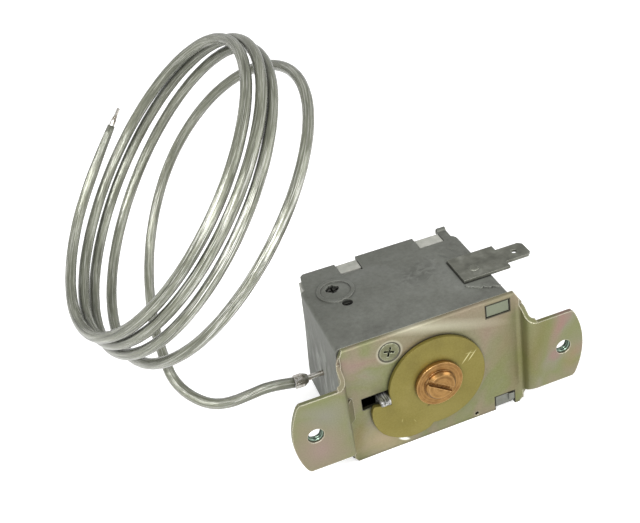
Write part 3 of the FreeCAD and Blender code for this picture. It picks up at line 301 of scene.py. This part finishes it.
def painted_crevice_shade(graph, reach, strength):
    node = graph.add("Group", node_tree=crevice_shade_group)
    node.inputs["Reach"].default_value = reach
    return graph.number("MULTIPLY", node.outputs["CreviceShade"], strength)


# Mounting plate
# Pressed steel sheet, zinc plated and passivated yellow: grey olive with faint pink and green
# tints that drift over the plate, painted highlights on its edges and top edge, and painted shade in its gaps
# and corners.
SCREW_CENTRE = (-11.7, 5.2, 13.3)
plate = Graph("yellow_zinc")
wide = plate.noise(plate.coords(), 46.0, 2.0, 0.5, 1.4)
plate_colour = plate.ramp(wide, [(0.28, tone(136, 110, 101)), (0.38, tone(136, 123, 101)),
                          (0.47, tone(128, 123, 95)), (0.56, tone(117, 123, 78)),
                          (0.66, tone(126, 127, 101)), (0.76, tone(140, 114, 107))])
drift = plate.noise(plate.coords((1, 1, 1), (0.3, 0.2, 0.9)), 110.0, 3.0, 0.6, 0.6)
plate_colour = plate.mix(plate.ramp(drift, [(0.35, 0.0), (0.75, 0.30)]), plate_colour, tone(136, 122, 110))
for centre, size, colour, part in (
        ((27.0, 3.0, 2.0), (9, 40, 50), tone(106, 104, 36), 0.75),
        ((33.5, 3.0, 7.5), (5, 40, 22), tone(150, 104, 100), 0.55),
        ((37.5, 3.0, -4.0), (7, 40, 12), tone(140, 116, 62), 0.50),
        ((20.5, 3.0, 1.0), (12, 40, 36), tone(114, 118, 56), 0.50),
        ((8.0, 3.0, 14.5), (26, 40, 8), tone(122, 120, 96), 0.50),
        ((-34.5, 3.0, -5.0), (18, 40, 18), tone(150, 122, 124), 0.75),
        ((-32.0, 3.0, 5.0), (14, 40, 10), tone(130, 128, 122), 0.70),
        # pale cream band along the top edge: a painted highlight
        ((-4.0, 5.2, 18.0), (60, 40, 5), tone(196, 192, 170), 0.70),
        ((-16.0, 5.2, -14.0), (24, 40, 14), tone(176, 156, 130), 0.65),
        ((-23.0, 3.0, -10.0), (6, 40, 18), tone(120, 104, 52), 0.60),
        ((-22.0, 3.0, 12.0), (9, 40, 12), tone(146, 122, 118), 0.50)):
    patch_of = plate.mark(centre, size, (0, 0.3, 0), 0.95)
    plate_colour = plate.mix(plate.number("MULTIPLY", patch_of, part), plate_colour, colour)
fine = plate.noise(plate.coords(), 2600.0, 4.0, 0.7)
plate_colour = plate.mix(0.18, plate_colour, plate.ramp(fine, [(0.3, tone(92, 86, 68)), (0.7, tone(162, 156, 134))]))
round_normal, edge = rounded_edges(plate, 0.00042)
# paler edges: a painted highlight along the plate's edges and bends
plate_colour = plate.mix(plate.number("MULTIPLY", edge, 0.85), plate_colour, tone(216, 212, 192))
# dark ring round the screw head and dark walls in the window, lug notch and slot: painted shade in the gaps
gap_shade = plate.mark(SCREW_CENTRE, (6.4, 6, 6.4), (0, 0, 0), 0.06)
for centre, size in (((18.95, 5.2, 15.3), (7.6, 6, 4.5)), ((19.55, 5.2, -16.3), (6.5, 6, 5.2)),
                     ((-15.7, 5.2, -0.35), (10.7, 6, 4.2))):
    gap_shade = plate.number("MAXIMUM", gap_shade, plate.mark(centre, size, (0, 0, 0), 0.05, True))
# light ring round the countersink: a painted highlight
countersink_highlight = plate.mark(SCREW_CENTRE, (7.6, 6, 7.6), (0, 0, 0), 0.12)
plate_colour = plate.mix(plate.number("MULTIPLY", countersink_highlight, 0.4), plate_colour, tone(196, 194, 176))
# near-white spot low on the left by the disc's rim: a painted glint
rim_glint = plate.mark((-10.6, 5.2, -16.6), (4.0, 8, 1.3), (0, 0.5, 0), 0.5)
plate_colour = plate.mix(plate.number("MULTIPLY", rim_glint, 0.9), plate_colour, tone(252, 252, 244))
plate_colour = plate.mix(plate.number("MULTIPLY", gap_shade, 0.85), plate_colour, tone(40, 38, 28))
# painted shade where other surfaces stand close to the plate
plate_colour = plate.mix(painted_crevice_shade(plate, 0.0012, 0.85), plate_colour, tone(40, 38, 28))
plate.join(plate_colour, plate.shader.inputs["Base Color"])
plate.shader.inputs["Metallic"].default_value = 0.65
plate.join(plate.ramp(drift, [(0.3, 0.36), (0.7, 0.48)]), plate.shader.inputs["Roughness"])
plate.join(plate.bump(fine, 0.12, 0.00005, round_normal), plate.shader.inputs["Normal"])
dress(plate.material, "mounting_plate")


# Face screw
# Countersunk cross-recess screw, zinc plated: greener and duller than the plate, with painted
# shade in its cross and in the gap round its head, and a painted highlight on its rim.
head = Graph("screw_zinc")
dull = head.noise(head.coords(), 900.0, 3.0, 0.6)
metal = head.ramp(dull, [(0.3, tone(100, 100, 76)), (0.55, tone(124, 124, 98)), (0.75, tone(148, 148, 122))])
round_normal, edge = rounded_edges(head, 0.00030)
centre = head.mark(SCREW_CENTRE, (4.6, 8, 4.6), (0, 0, 0), 0.25)
metal = head.mix(head.number("MULTIPLY", centre, 0.6), metal, tone(92, 94, 66))
# paler rim: a painted highlight round the head's edge
metal = head.mix(head.number("MULTIPLY", edge, 0.8), metal, tone(206, 210, 186))
# near-black painted shade in the cross and the gap round the head
metal = head.mix(painted_crevice_shade(head, 0.0008, 0.95), metal, tone(22, 23, 16))
head.join(metal, head.shader.inputs["Base Color"])
head.shader.inputs["Metallic"].default_value = 0.6
head.shader.inputs["Roughness"].default_value = 0.38
head.join(head.bump(dull, 0.15, 0.00005, round_normal), head.shader.inputs["Normal"])
dress(head.material, "face_screw")


# Tapped ear holes
# Each ear hole is tapped M4 through its drawn collar: a bright plated thread ridge winds from the
# front of the ear to the end of the collar.
THREAD_ROOT_R = 0.00218
THREAD_CREST_R = 0.00162
THREAD_PITCH = 0.0007
THREAD_Y = (0.00042, 0.00222)
THREAD_STEPS = 40
EAR_HOLE_X = 0.035
cut = Graph("bright_thread")
cut.shader.inputs["Base Color"].default_value = tone(120, 138, 124)
cut.shader.inputs["Metallic"].default_value = 0.85
cut.shader.inputs["Roughness"].default_value = 0.26
steps = round((THREAD_Y[1] - THREAD_Y[0]) / THREAD_PITCH * THREAD_STEPS)
for hole, hole_x in (("left", -EAR_HOLE_X), ("right", EAR_HOLE_X)):
    verts, faces = [], []
    for i in range(steps + 1):
        y = THREAD_Y[0] + (THREAD_Y[1] - THREAD_Y[0]) * i / steps
        a = 2 * math.pi * (y - THREAD_Y[0]) / THREAD_PITCH
        full = min(1.0, i / 10, (steps - i) / 10)
        crest = THREAD_ROOT_R + (THREAD_CREST_R - THREAD_ROOT_R) * full
        for r, off in ((THREAD_ROOT_R, -0.00033), (crest, -0.00006), (crest, 0.00006),
                       (THREAD_ROOT_R, 0.00033)):
            verts.append((hole_x + r * math.sin(a), y + off, r * math.cos(a)))
    for i in range(steps):
        for k in range(4):
            n = (k + 1) % 4
            faces.append((i * 4 + k, i * 4 + n, i * 4 + 4 + n, i * 4 + 4 + k))
    faces += [(3, 2, 1, 0), tuple(steps * 4 + k for k in range(4))]
    thread = add_mesh("ear_thread_" + hole, verts, faces)
    thread.data.materials.append(cut.material)
    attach(thread, "housing")


# Folded case
# Grey galvanised sheet, dull and handled: darker smudges on the top, paler and darker
# streaks low on the left side, and small dents.
case = Graph("galvanised")
cloud = case.noise(case.coords(), 55.0, 4.0, 0.55, 0.8)
skin = case.ramp(cloud, [(0.30, tone(102, 103, 96)), (0.5, tone(117, 119, 111)), (0.72, tone(132, 134, 128))])
speck = case.noise(case.coords(), 900.0, 5.0, 0.7)
skin = case.mix(0.25, skin, case.ramp(speck, [(0.3, tone(90, 91, 86)), (0.7, tone(150, 152, 146))]))
streaks = case.noise(case.coords((1.0, 1.0, 0.25), (0.35, 0.0, 0.0)), 420.0, 3.0, 0.6, 0.8)
low_left = case.mark((-25.2, 20.0, -4.0), (4, 50, 36), (0.35, 0, 0), 0.6)
skin = case.mix(case.number("MULTIPLY", low_left, case.ramp(streaks, [(0.30, 0.7), (0.50, 0.0)])), skin,
                tone(92, 93, 87))
skin = case.mix(case.number("MULTIPLY", low_left, case.ramp(streaks, [(0.50, 0.0), (0.66, 0.8)])), skin,
                tone(168, 170, 164))
handled = case.mark((6.0, 26.0, 18.5), (20, 14, 8), (0, 0, 0.4), 0.8)
skin = case.mix(case.number("MULTIPLY", handled, case.ramp(streaks, [(0.40, 0.0), (0.60, 0.6)])), skin,
                tone(84, 85, 79))
round_normal, edge = rounded_edges(case, 0.00030)
# paler edges: a painted highlight
skin = case.mix(case.number("MULTIPLY", edge, 0.55), skin, tone(172, 173, 164))
lug = case.mark((18.95, 5.6, 15.3), (7.2, 3, 4.2), (0, 0, 0), 0.2, True)
skin = case.mix(case.number("MULTIPLY", lug, 0.7), skin, tone(120, 126, 102))
# dark band on the top round the earth tab: a painted shadow under the tab
tab_shadow = case.mark((18.7, 20.8, 18.5), (8.9, 11.9, 2), (0, 0, 0), 0.05, True)
skin = case.mix(case.number("MULTIPLY", tab_shadow, 0.85), skin, tone(40, 40, 36))
# painted shade in the case's corners and joints
skin = case.mix(painted_crevice_shade(case, 0.0016, 0.9), skin, tone(28, 28, 25))
case.join(skin, case.shader.inputs["Base Color"])
case.shader.inputs["Metallic"].default_value = 0.6
case.join(case.ramp(cloud, [(0.3, 0.42), (0.7, 0.56)]), case.shader.inputs["Roughness"])
dents = case.noise(case.coords(), 160.0, 1.0, 0.4)
bent = case.bump(dents, 0.35, 0.0004, round_normal)
for centre, size, turn in (((15.5, 30.0, 18.4), (1.6, 5.0, 3), 0.5), ((18.6, 31.5, 18.4), (1.2, 4.0, 3), 0.35),
                           ((12.5, 24.0, 18.4), (2.4, 5.5, 3), -0.3), ((17.5, 25.5, 18.4), (1.4, 3.5, 3), 0.1)):
    bent = case.bump(case.mark(centre, size, (0, 0, turn), 0.9), 1.0, -0.0003, bent)
case.join(case.bump(speck, 0.15, 0.00005, bent), case.shader.inputs["Normal"])
dress(case.material, "case")


# Stop tongue
# Bent-out strip of the case's sheet that stops the disc: its sheared edges leave light and dark
# stripes along it.
tongue = Graph("sheared_tongue")
stripe = tongue.noise(tongue.coords((1.0, 0.12, 1.0)), 2200.0, 2.0, 0.5)
skin = tongue.ramp(stripe, [(0.35, tone(70, 70, 66)), (0.5, tone(122, 122, 118)), (0.62, tone(196, 196, 196))])
round_normal = rounded_edges(tongue, 0.00045)[0]
# painted shade where other surfaces stand close
skin = tongue.mix(painted_crevice_shade(tongue, 0.0010, 0.8), skin, tone(24, 24, 22))
tongue.join(skin, tongue.shader.inputs["Base Color"])
tongue.shader.inputs["Metallic"].default_value = 0.7
tongue.shader.inputs["Roughness"].default_value = 0.34
tongue.join(round_normal, tongue.shader.inputs["Normal"])
dress(tongue.material, "stop_pin")


# Stop disc
# Stamped brass sheet, olive yellow and dull, with a few light scratches and a darker rim.
disc = Graph("stop_brass")
patch = disc.noise(disc.coords(), 120.0, 3.0, 0.5)
metal = disc.ramp(patch, [(0.3, tone(112, 102, 46)), (0.5, tone(122, 112, 52)), (0.7, tone(130, 120, 62))])
grain = disc.noise(disc.coords(), 1800.0, 4.0, 0.7)
metal = disc.mix(0.18, metal, disc.ramp(grain, [(0.3, tone(88, 80, 34)), (0.7, tone(154, 146, 88))]))
round_normal, edge = rounded_edges(disc, 0.00020)
metal = disc.mix(disc.number("MULTIPLY", edge, 0.6), metal, tone(96, 84, 36))
# painted shade where the spindle and plate stand close
metal = disc.mix(painted_crevice_shade(disc, 0.0012, 0.8), metal, tone(48, 42, 16))
for centre, size, turn, colour, part in (
        ((8.6, 4, 4.3), (0.42, 20, 5.2), 0.72, tone(206, 200, 150), 0.85),
        ((10.2, 4, 4.4), (0.38, 20, 4.6), 0.72, tone(206, 200, 150), 0.85),
        ((9.6, 4, 5.4), (0.30, 20, 3.2), 1.75, tone(186, 180, 124), 0.6),
        ((-2.7, 4, -6.5), (1.0, 20, 2.6), 0.9, tone(62, 48, 14), 0.85),
        ((-11.0, 4, -9.0), (0.4, 20, 1.3), 0.3, tone(170, 162, 104), 0.6),
        ((-7.5, 4, -10.5), (0.3, 20, 1.6), -0.5, tone(172, 166, 110), 0.5)):
    spot = disc.mark(centre, size, (0, turn, 0), 0.6)
    metal = disc.mix(disc.number("MULTIPLY", spot, part), metal, colour)
disc.join(metal, disc.shader.inputs["Base Color"])
disc.shader.inputs["Metallic"].default_value = 0.6
disc.shader.inputs["Roughness"].default_value = 0.42
disc.join(disc.bump(grain, 0.12, 0.00004, round_normal), disc.shader.inputs["Normal"])
dress(disc.material, "stop_disc")


# Range spindle
# Turned screw in copper coloured metal with a slotted stub; its edges carry a painted bright highlight.
# It turns in a bush in the plate, and a clip holds it from behind.
spindle = Graph("copper_spindle")
reach = spindle.add("SeparateXYZ")
spindle.join(spindle.coords(), reach.inputs[0])
across = spindle.number("ADD", spindle.number("MULTIPLY", reach.outputs["X"], reach.outputs["X"]),
                        spindle.number("MULTIPLY", reach.outputs["Z"], reach.outputs["Z"]))
lathe = spindle.add("CombineXYZ")
spindle.join(spindle.number("SQRT", across, 0.0), lathe.inputs[0])
spindle.join(spindle.number("MULTIPLY", reach.outputs["Y"], 0.6), lathe.inputs[1])
rings = spindle.noise(lathe.outputs[0], 2400.0, 3.0, 0.6)
smear = spindle.noise(spindle.coords(), 420.0, 3.0, 0.6)
copper = spindle.ramp(rings, [(0.3, tone(110, 78, 42)), (0.5, tone(140, 104, 60)), (0.72, tone(176, 136, 84))])
copper = spindle.mix(spindle.ramp(smear, [(0.4, 0.0), (0.7, 0.5)]), copper, tone(192, 150, 92))
round_normal, edge = rounded_edges(spindle, 0.00028)
# bright edges: a painted highlight
copper = spindle.mix(spindle.number("MULTIPLY", edge, 0.8), copper, tone(226, 184, 126))
# painted shade where the bush, disc and plate stand close
copper = spindle.mix(painted_crevice_shade(spindle, 0.0010, 0.85), copper, tone(58, 34, 16))
spindle.join(copper, spindle.shader.inputs["Base Color"])
spindle.shader.inputs["Metallic"].default_value = 0.9
spindle.shader.inputs["Roughness"].default_value = 0.30
spindle.join(spindle.bump(rings, 0.4, 0.0001, round_normal), spindle.shader.inputs["Normal"])
dress(spindle.material, "range_spindle")


# Plain steel pieces
# Earth tab, its rivet and the small steel pieces inside the case: plain satin steel, riveted to
# the case's top or held in the case.
steel = Graph("plain_steel")
mottle = steel.noise(steel.coords(), 260.0, 4.0, 0.6)
skin = steel.ramp(mottle, [(0.3, tone(98, 99, 90)), (0.55, tone(120, 121, 111)), (0.75, tone(144, 145, 136))])
round_normal, edge = rounded_edges(steel, 0.00018)
# paler edges: a painted highlight
skin = steel.mix(steel.number("MULTIPLY", edge, 0.6), skin, tone(198, 199, 190))
# painted shade where other parts stand close
skin = steel.mix(painted_crevice_shade(steel, 0.0008, 0.8), skin, tone(34, 34, 30))
steel.join(skin, steel.shader.inputs["Base Color"])
steel.shader.inputs["Metallic"].default_value = 0.7
steel.join(steel.ramp(mottle, [(0.3, 0.36), (0.7, 0.5)]), steel.shader.inputs["Roughness"])
steel.join(steel.bump(mottle, 0.1, 0.00006, round_normal), steel.shader.inputs["Normal"])
dress(steel.material, "earth_terminal", "earth_rivet", "spindle_bush", "spindle_clip", "nut_guide",
      "main_lever", "lever_pin", "thrust_button")


# Trim screws
# Two small blackened screws and their plate, down in the holes of the case's top.
oiled = Graph("blackened_steel")
film = oiled.noise(oiled.coords(), 700.0, 3.0, 0.6)
skin = oiled.ramp(film, [(0.3, tone(34, 34, 32)), (0.6, tone(62, 62, 58)), (0.8, tone(112, 112, 106))])
round_normal, edge = rounded_edges(oiled, 0.00018)
# paler edges: a painted highlight
skin = oiled.mix(oiled.number("MULTIPLY", edge, 0.5), skin, tone(128, 128, 120))
# near-black painted shade down in the holes and where parts stand close
skin = oiled.mix(painted_crevice_shade(oiled, 0.0020, 0.95), skin, tone(14, 14, 13))
oiled.join(skin, oiled.shader.inputs["Base Color"])
oiled.shader.inputs["Metallic"].default_value = 0.5
oiled.shader.inputs["Roughness"].default_value = 0.45
oiled.join(round_normal, oiled.shader.inputs["Normal"])
dress(oiled.material, "trim_plate", "range_trim_screw", "differential_screw")


# Inner brass
# Nut, bellows, bellows cup and switch blade: drawn brass, seen only where the case is open.
brass = Graph("inner_brass")
stain = brass.noise(brass.coords(), 300.0, 4.0, 0.6)
skin = brass.ramp(stain, [(0.3, tone(150, 120, 58)), (0.6, tone(186, 154, 84)), (0.8, tone(206, 180, 112))])
brass.join(skin, brass.shader.inputs["Base Color"])
brass.shader.inputs["Metallic"].default_value = 0.9
brass.shader.inputs["Roughness"].default_value = 0.36
brass.join(brass.bump(stain, 0.1, 0.00005), brass.shader.inputs["Normal"])
dress(brass.material, "range_nut", "bellows", "bellows_cup", "contact_blade")


# Switch base
# Moulded off-white insulator that closes the back; its two lugs fill the notches of the top.
mould = Graph("insulator")
cast = mould.noise(mould.coords(), 340.0, 4.0, 0.6)
skin = mould.ramp(cast, [(0.3, tone(150, 151, 143)), (0.6, tone(168, 168, 160)), (0.8, tone(183, 182, 175))])
round_normal, edge = rounded_edges(mould, 0.00035)
# painted shade where other parts stand close
skin = mould.mix(painted_crevice_shade(mould, 0.0008, 0.7), skin, tone(70, 70, 64))
mould.join(skin, mould.shader.inputs["Base Color"])
mould.shader.inputs["Roughness"].default_value = 0.62
mould.join(mould.bump(cast, 0.2, 0.0001, round_normal), mould.shader.inputs["Normal"])
dress(mould.material, "switch_base", "switch_plunger")


# Tinned pieces
# Switch tabs, contacts, the bare capillary end and its ferrule: tin or silver over copper.
tin = Graph("tinned")
film = tin.noise(tin.coords(), 700.0, 4.0, 0.6)
skin = tin.ramp(film, [(0.30, tone(122, 114, 100)), (0.42, tone(176, 168, 156)), (0.54, tone(222, 219, 212)),
                       (0.8, tone(246, 245, 242))])
round_normal = rounded_edges(tin, 0.00018)[0]
tin.join(skin, tin.shader.inputs["Base Color"])
tin.shader.inputs["Metallic"].default_value = 0.9
tin.shader.inputs["Roughness"].default_value = 0.22
tin.join(tin.bump(film, 0.5, 0.0002, round_normal), tin.shader.inputs["Normal"])
dress(tin.material, "line_terminal", "load_terminal", "moving_contact", "fixed_contact",
      "capillary_entry", "capillary_ferrule", "capillary_tip")


# Capillary
# Thin metal capillary in a tight glossy grey sleeve, wound by hand into four and a quarter loose
# turns. It keeps its own shape, so it is a formed tube and not a free cord.
SLEEVE_R = 0.00145
SIDES = 20
ENTRY = (23.8, -1.8)
FERRULE_END_X = -33.4
# route of the short run between ferrule and coil, in millimetres
RUN_POINTS = ((-39.9, 24.6, -0.9), (-45.4, 25.8, -2.5), (-50.9, 27.5, -4.4), (-55.9, 30.0, -4.8),
              (-60.2, 33.8, -2.9), (-62.8, 38.4, -0.9))
COIL_CENTRE = Vector((-39.46, 47.48, 40.52))
COIL_NORMAL = Vector((0.7515, 0.005, -0.6598)).normalized()
POINTS_PER_TURN = 12
FIRST_TURN = -0.02
SPREAD = 0.012
LAST_TURN = 4.253
STATION_TURN = 0.25
SPREAD_FADE = (3, 4)
# every quarter turn, in millimetres: along the coil's axis, sideways, up, radius
STATIONS = (
    (-6.51, -0.43, -0.74, 44.05), (3.95, -0.39, -0.60, 43.92), (2.61, -0.40, -0.20, 43.64),
    (6.43, -0.10, 0.12, 43.54), (8.69, 0.00, 0.29, 43.40), (11.27, 0.03, 0.33, 43.34),
    (13.69, 0.05, 0.35, 43.34), (14.41, 0.07, 0.45, 43.32), (14.62, 0.11, 0.68, 43.29),
    (15.67, 0.22, 1.03, 43.24), (17.01, 0.33, 1.27, 43.06), (17.86, 0.39, 1.24, 42.67),
    (18.49, 0.40, 1.09, 42.29), (19.32, 0.40, 0.98, 42.08), (20.15, 0.37, 0.81, 41.78),
    (20.88, 0.32, 0.42, 41.15), (22.19, 0.23, -0.45, 40.37), (25.00, 0.09, -2.06, 39.76),
    (27.78, -0.03, -3.49, 39.60))


def station(turn):
    last = len(STATIONS) - 1
    place = min(max(turn / STATION_TURN, 0.0), last - 1e-9)
    i = int(place)
    f = place - i
    rows = [STATIONS[min(max(i + k, 0), last)] for k in (-1, 0, 1, 2)]
    return [b + 0.5 * f * (c - a + f * (2 * a - 5 * b + 4 * c - d + f * (3 * (b - c) + d - a)))
            for a, b, c, d in zip(*rows)]


def coil_point(turn):
    rise = (Vector((0, 0, 1)) - COIL_NORMAL * COIL_NORMAL.z).normalized()
    across = rise.cross(COIL_NORMAL)
    along, sideways, up, radius = station(turn)
    a = 2 * math.pi * turn
    return (COIL_CENTRE - COIL_NORMAL * along + across * (sideways + radius * math.sin(a))
            + rise * (up - radius * math.cos(a)))


route = [Vector((FERRULE_END_X, *ENTRY))] + [Vector(p) for p in RUN_POINTS]
turns = round((LAST_TURN - FIRST_TURN) * POINTS_PER_TURN)
for i in range(turns + 1):
    turn = FIRST_TURN + (LAST_TURN - FIRST_TURN) * i / turns
    point = coil_point(turn)
    arm = point - COIL_CENTRE
    arm -= COIL_NORMAL * arm.dot(COIL_NORMAL)
    route.append(point + arm * SPREAD * min(1.0, i / SPREAD_FADE[0], (turns - i) / SPREAD_FADE[1]))


def smooth_line(points, steps):
    """The points of a smooth spline that has the route's points as its control points."""
    curve = bpy.data.curves.new("route", "CURVE")
    curve.dimensions = "3D"
    spline = curve.splines.new("NURBS")
    spline.points.add(len(points) - 1)
    for target, p in zip(spline.points, points):
        target.co = (*(p / 1000.0), 1.0)
    spline.order_u = 3
    spline.use_endpoint_u = True
    spline.resolution_u = steps
    holder = bpy.data.objects.new("route", curve)
    mesh = bpy.data.meshes.new_from_object(holder)
    line = np.array([v.co for v in mesh.vertices], float)
    bpy.data.objects.remove(holder)
    bpy.data.curves.remove(curve)
    bpy.data.meshes.remove(mesh)
    keep = np.r_[True, np.linalg.norm(np.diff(line, axis=0), axis=1) > 1e-7]
    return line[keep]


def tube(name, line, radius_at, sides):
    """A round skin along a line; radius_at gives the radius for a place and an angle."""
    along = np.r_[0.0, np.cumsum(np.linalg.norm(np.diff(line, axis=0), axis=1))]
    tangent = np.gradient(line, axis=0)
    tangent /= np.linalg.norm(tangent, axis=1)[:, None]
    side = np.cross(tangent[0], (0, 0, 1.0))
    side /= np.linalg.norm(side)
    verts, faces, where, angle_of = [], [], [], []
    for i, (p, t) in enumerate(zip(line, tangent)):
        side = side - t * np.dot(side, t)
        side /= np.linalg.norm(side)
        other = np.cross(t, side)
        for k in range(sides):
            a = 2 * math.pi * k / sides
            r = radius_at(along[i], a)
            verts.append(p + (side * math.cos(a) + other * math.sin(a)) * r)
            where.append(along[i])
            angle_of.append(a)
    for i in range(len(line) - 1):
        for k in range(sides):
            n = (k + 1) % sides
            faces.append((i * sides + k, i * sides + n, (i + 1) * sides + n, (i + 1) * sides + k))
    faces.append(tuple(range(sides - 1, -1, -1)))
    faces.append(tuple((len(line) - 1) * sides + k for k in range(sides)))
    obj = add_mesh(name, verts, faces)
    for key, values in (("along", where), ("around", [math.cos(a) for a in angle_of]),
                        ("aside", [math.sin(a) for a in angle_of])):
        layer = obj.data.attributes.new(key, "FLOAT", "POINT")
        layer.data.foreach_set("value", values)
    return obj


TAPER = 0.016
PINCH_PLACE = 0.010
PINCH_WIDTH = 0.0026
LINE_STEPS = 14


def sleeve_radius(s, a):
    wave = (math.sin(s * 610.0 + 2.1 * math.sin(a)) + math.sin(s * 1370.0 + 3.0 * math.cos(a + 0.6))
            + 0.7 * math.sin(s * 2900.0 + 4.0 * math.sin(a * 2)))
    left = max(0.0, sleeve_length - s)
    narrow = 1.0 - 0.30 * max(0.0, 1.0 - left / TAPER) ** 1.2
    pinch = math.exp(-((left - PINCH_PLACE) / PINCH_WIDTH) ** 2)
    crush = 1.0 + pinch * (0.12 * math.cos(2 * a + 0.8) - 0.12)
    return SLEEVE_R * (1.005 + 0.006 * wave) * narrow * crush


sleeve_line = smooth_line(route, LINE_STEPS)
sleeve_length = float(np.linalg.norm(np.diff(sleeve_line, axis=0), axis=1).sum())
sleeve = tube("capillary_skin", sleeve_line, sleeve_radius, SIDES)
skin = Graph("grey_sleeve")
lane = skin.add("CombineXYZ")
line_coords = skin.add("CombineXYZ")
for key, gain, fine_gain, socket in (("along", 30.0, 26.0, 0), ("around", 0.7, 2.6, 1),
                                     ("aside", 0.7, 2.6, 2)):
    reader = skin.add("Attribute", attribute_name=key)
    skin.join(skin.number("MULTIPLY", reader.outputs["Fac"], gain), lane.inputs[socket])
    skin.join(skin.number("MULTIPLY", reader.outputs["Fac"], fine_gain), line_coords.inputs[socket])
    if key == "along":
        place = reader.outputs["Fac"]
streak = skin.noise(lane.outputs[0], 2.4, 4.0, 0.60, 0.3)
fine_lines = skin.noise(line_coords.outputs[0], 3.4, 3.0, 0.62, 0.2)
# grey olive tone that changes along the sleeve; its pale stops are painted highlight streaks
colour = skin.ramp(streak, [(0.28, tone(82, 84, 71)), (0.42, tone(108, 110, 95)), (0.58, tone(126, 128, 112)),
                            (0.72, tone(166, 168, 156)), (0.84, tone(216, 217, 209))])
busy = skin.mark((-42.0, 8.0, 50.0), (80, 50, 70), (0, 0, 0), 0.7)
busy = skin.number("MAXIMUM", skin.number("MULTIPLY", busy, 0.95), 0.35)
# fine near-white lines along the sleeve are painted highlights, and the fine dark lines are painted shade lines
painted_shade_line = skin.number("MULTIPLY", skin.ramp(fine_lines, [(0.39, 1.0), (0.45, 0.0)]), busy)
painted_highlight_line = skin.number("MULTIPLY", skin.ramp(fine_lines, [(0.55, 0.0), (0.61, 1.0)]), busy)
colour = skin.mix(painted_shade_line, colour, tone(52, 54, 46))
colour = skin.mix(painted_highlight_line, colour, tone(240, 240, 234))
ends_in = skin.add("MapRange")
ends_in.inputs["From Min"].default_value = sleeve_length - 0.015
ends_in.inputs["From Max"].default_value = sleeve_length - 0.008
skin.join(place, ends_in.inputs["Value"])
crumple = skin.noise(line_coords.outputs[0], 9.0, 3.0, 0.6)
crumple = skin.number("MULTIPLY", ends_in.outputs["Result"], skin.ramp(crumple, [(0.42, 0.8), (0.56, 0.0)]))
colour = skin.mix(crumple, colour, tone(70, 72, 62))
# painted shade where the turns and other parts stand close
colour = skin.mix(painted_crevice_shade(skin, 0.0030, 0.75), colour, tone(44, 46, 38))
skin.join(colour, skin.shader.inputs["Base Color"])
skin.shader.inputs["Metallic"].default_value = 0.45
skin.shader.inputs["Roughness"].default_value = 0.22
skin.shader.inputs["Coat Weight"].default_value = 0.6
skin.shader.inputs["Coat Roughness"].default_value = 0.08
skin.join(skin.bump(fine_lines, 0.5, 0.0003), skin.shader.inputs["Normal"])
sleeve.data.materials.append(skin.material)
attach(sleeve, "housing")
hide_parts("capillary_sleeve")


# Range spring
# Round steel wire between the nut and the lever, which the nut squeezes as it travels; it stands
# in for the coarser solid of the frame.
WIRE_R = 0.00045
SPRING_TURNS = 5
SPRING_STEPS = 24
corner, far_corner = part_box("range_spring")
spring_r = far_corner[0] - WIRE_R
spring_y = corner[1] + WIRE_R, far_corner[1] - WIRE_R
coil_line = []
for i in range(SPRING_TURNS * SPRING_STEPS + 1):
    a = 2 * math.pi * i / SPRING_STEPS
    y = spring_y[0] + (spring_y[1] - spring_y[0]) * i / (SPRING_TURNS * SPRING_STEPS)
    coil_line.append((spring_r * math.cos(a), y, spring_r * math.sin(a)))
wire = tube("range_spring_wire", np.array(coil_line), lambda s, a: WIRE_R, 12)
wire.data.materials.append(steel.material)
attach(wire, "nut")
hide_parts("range_spring")
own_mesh(wire)
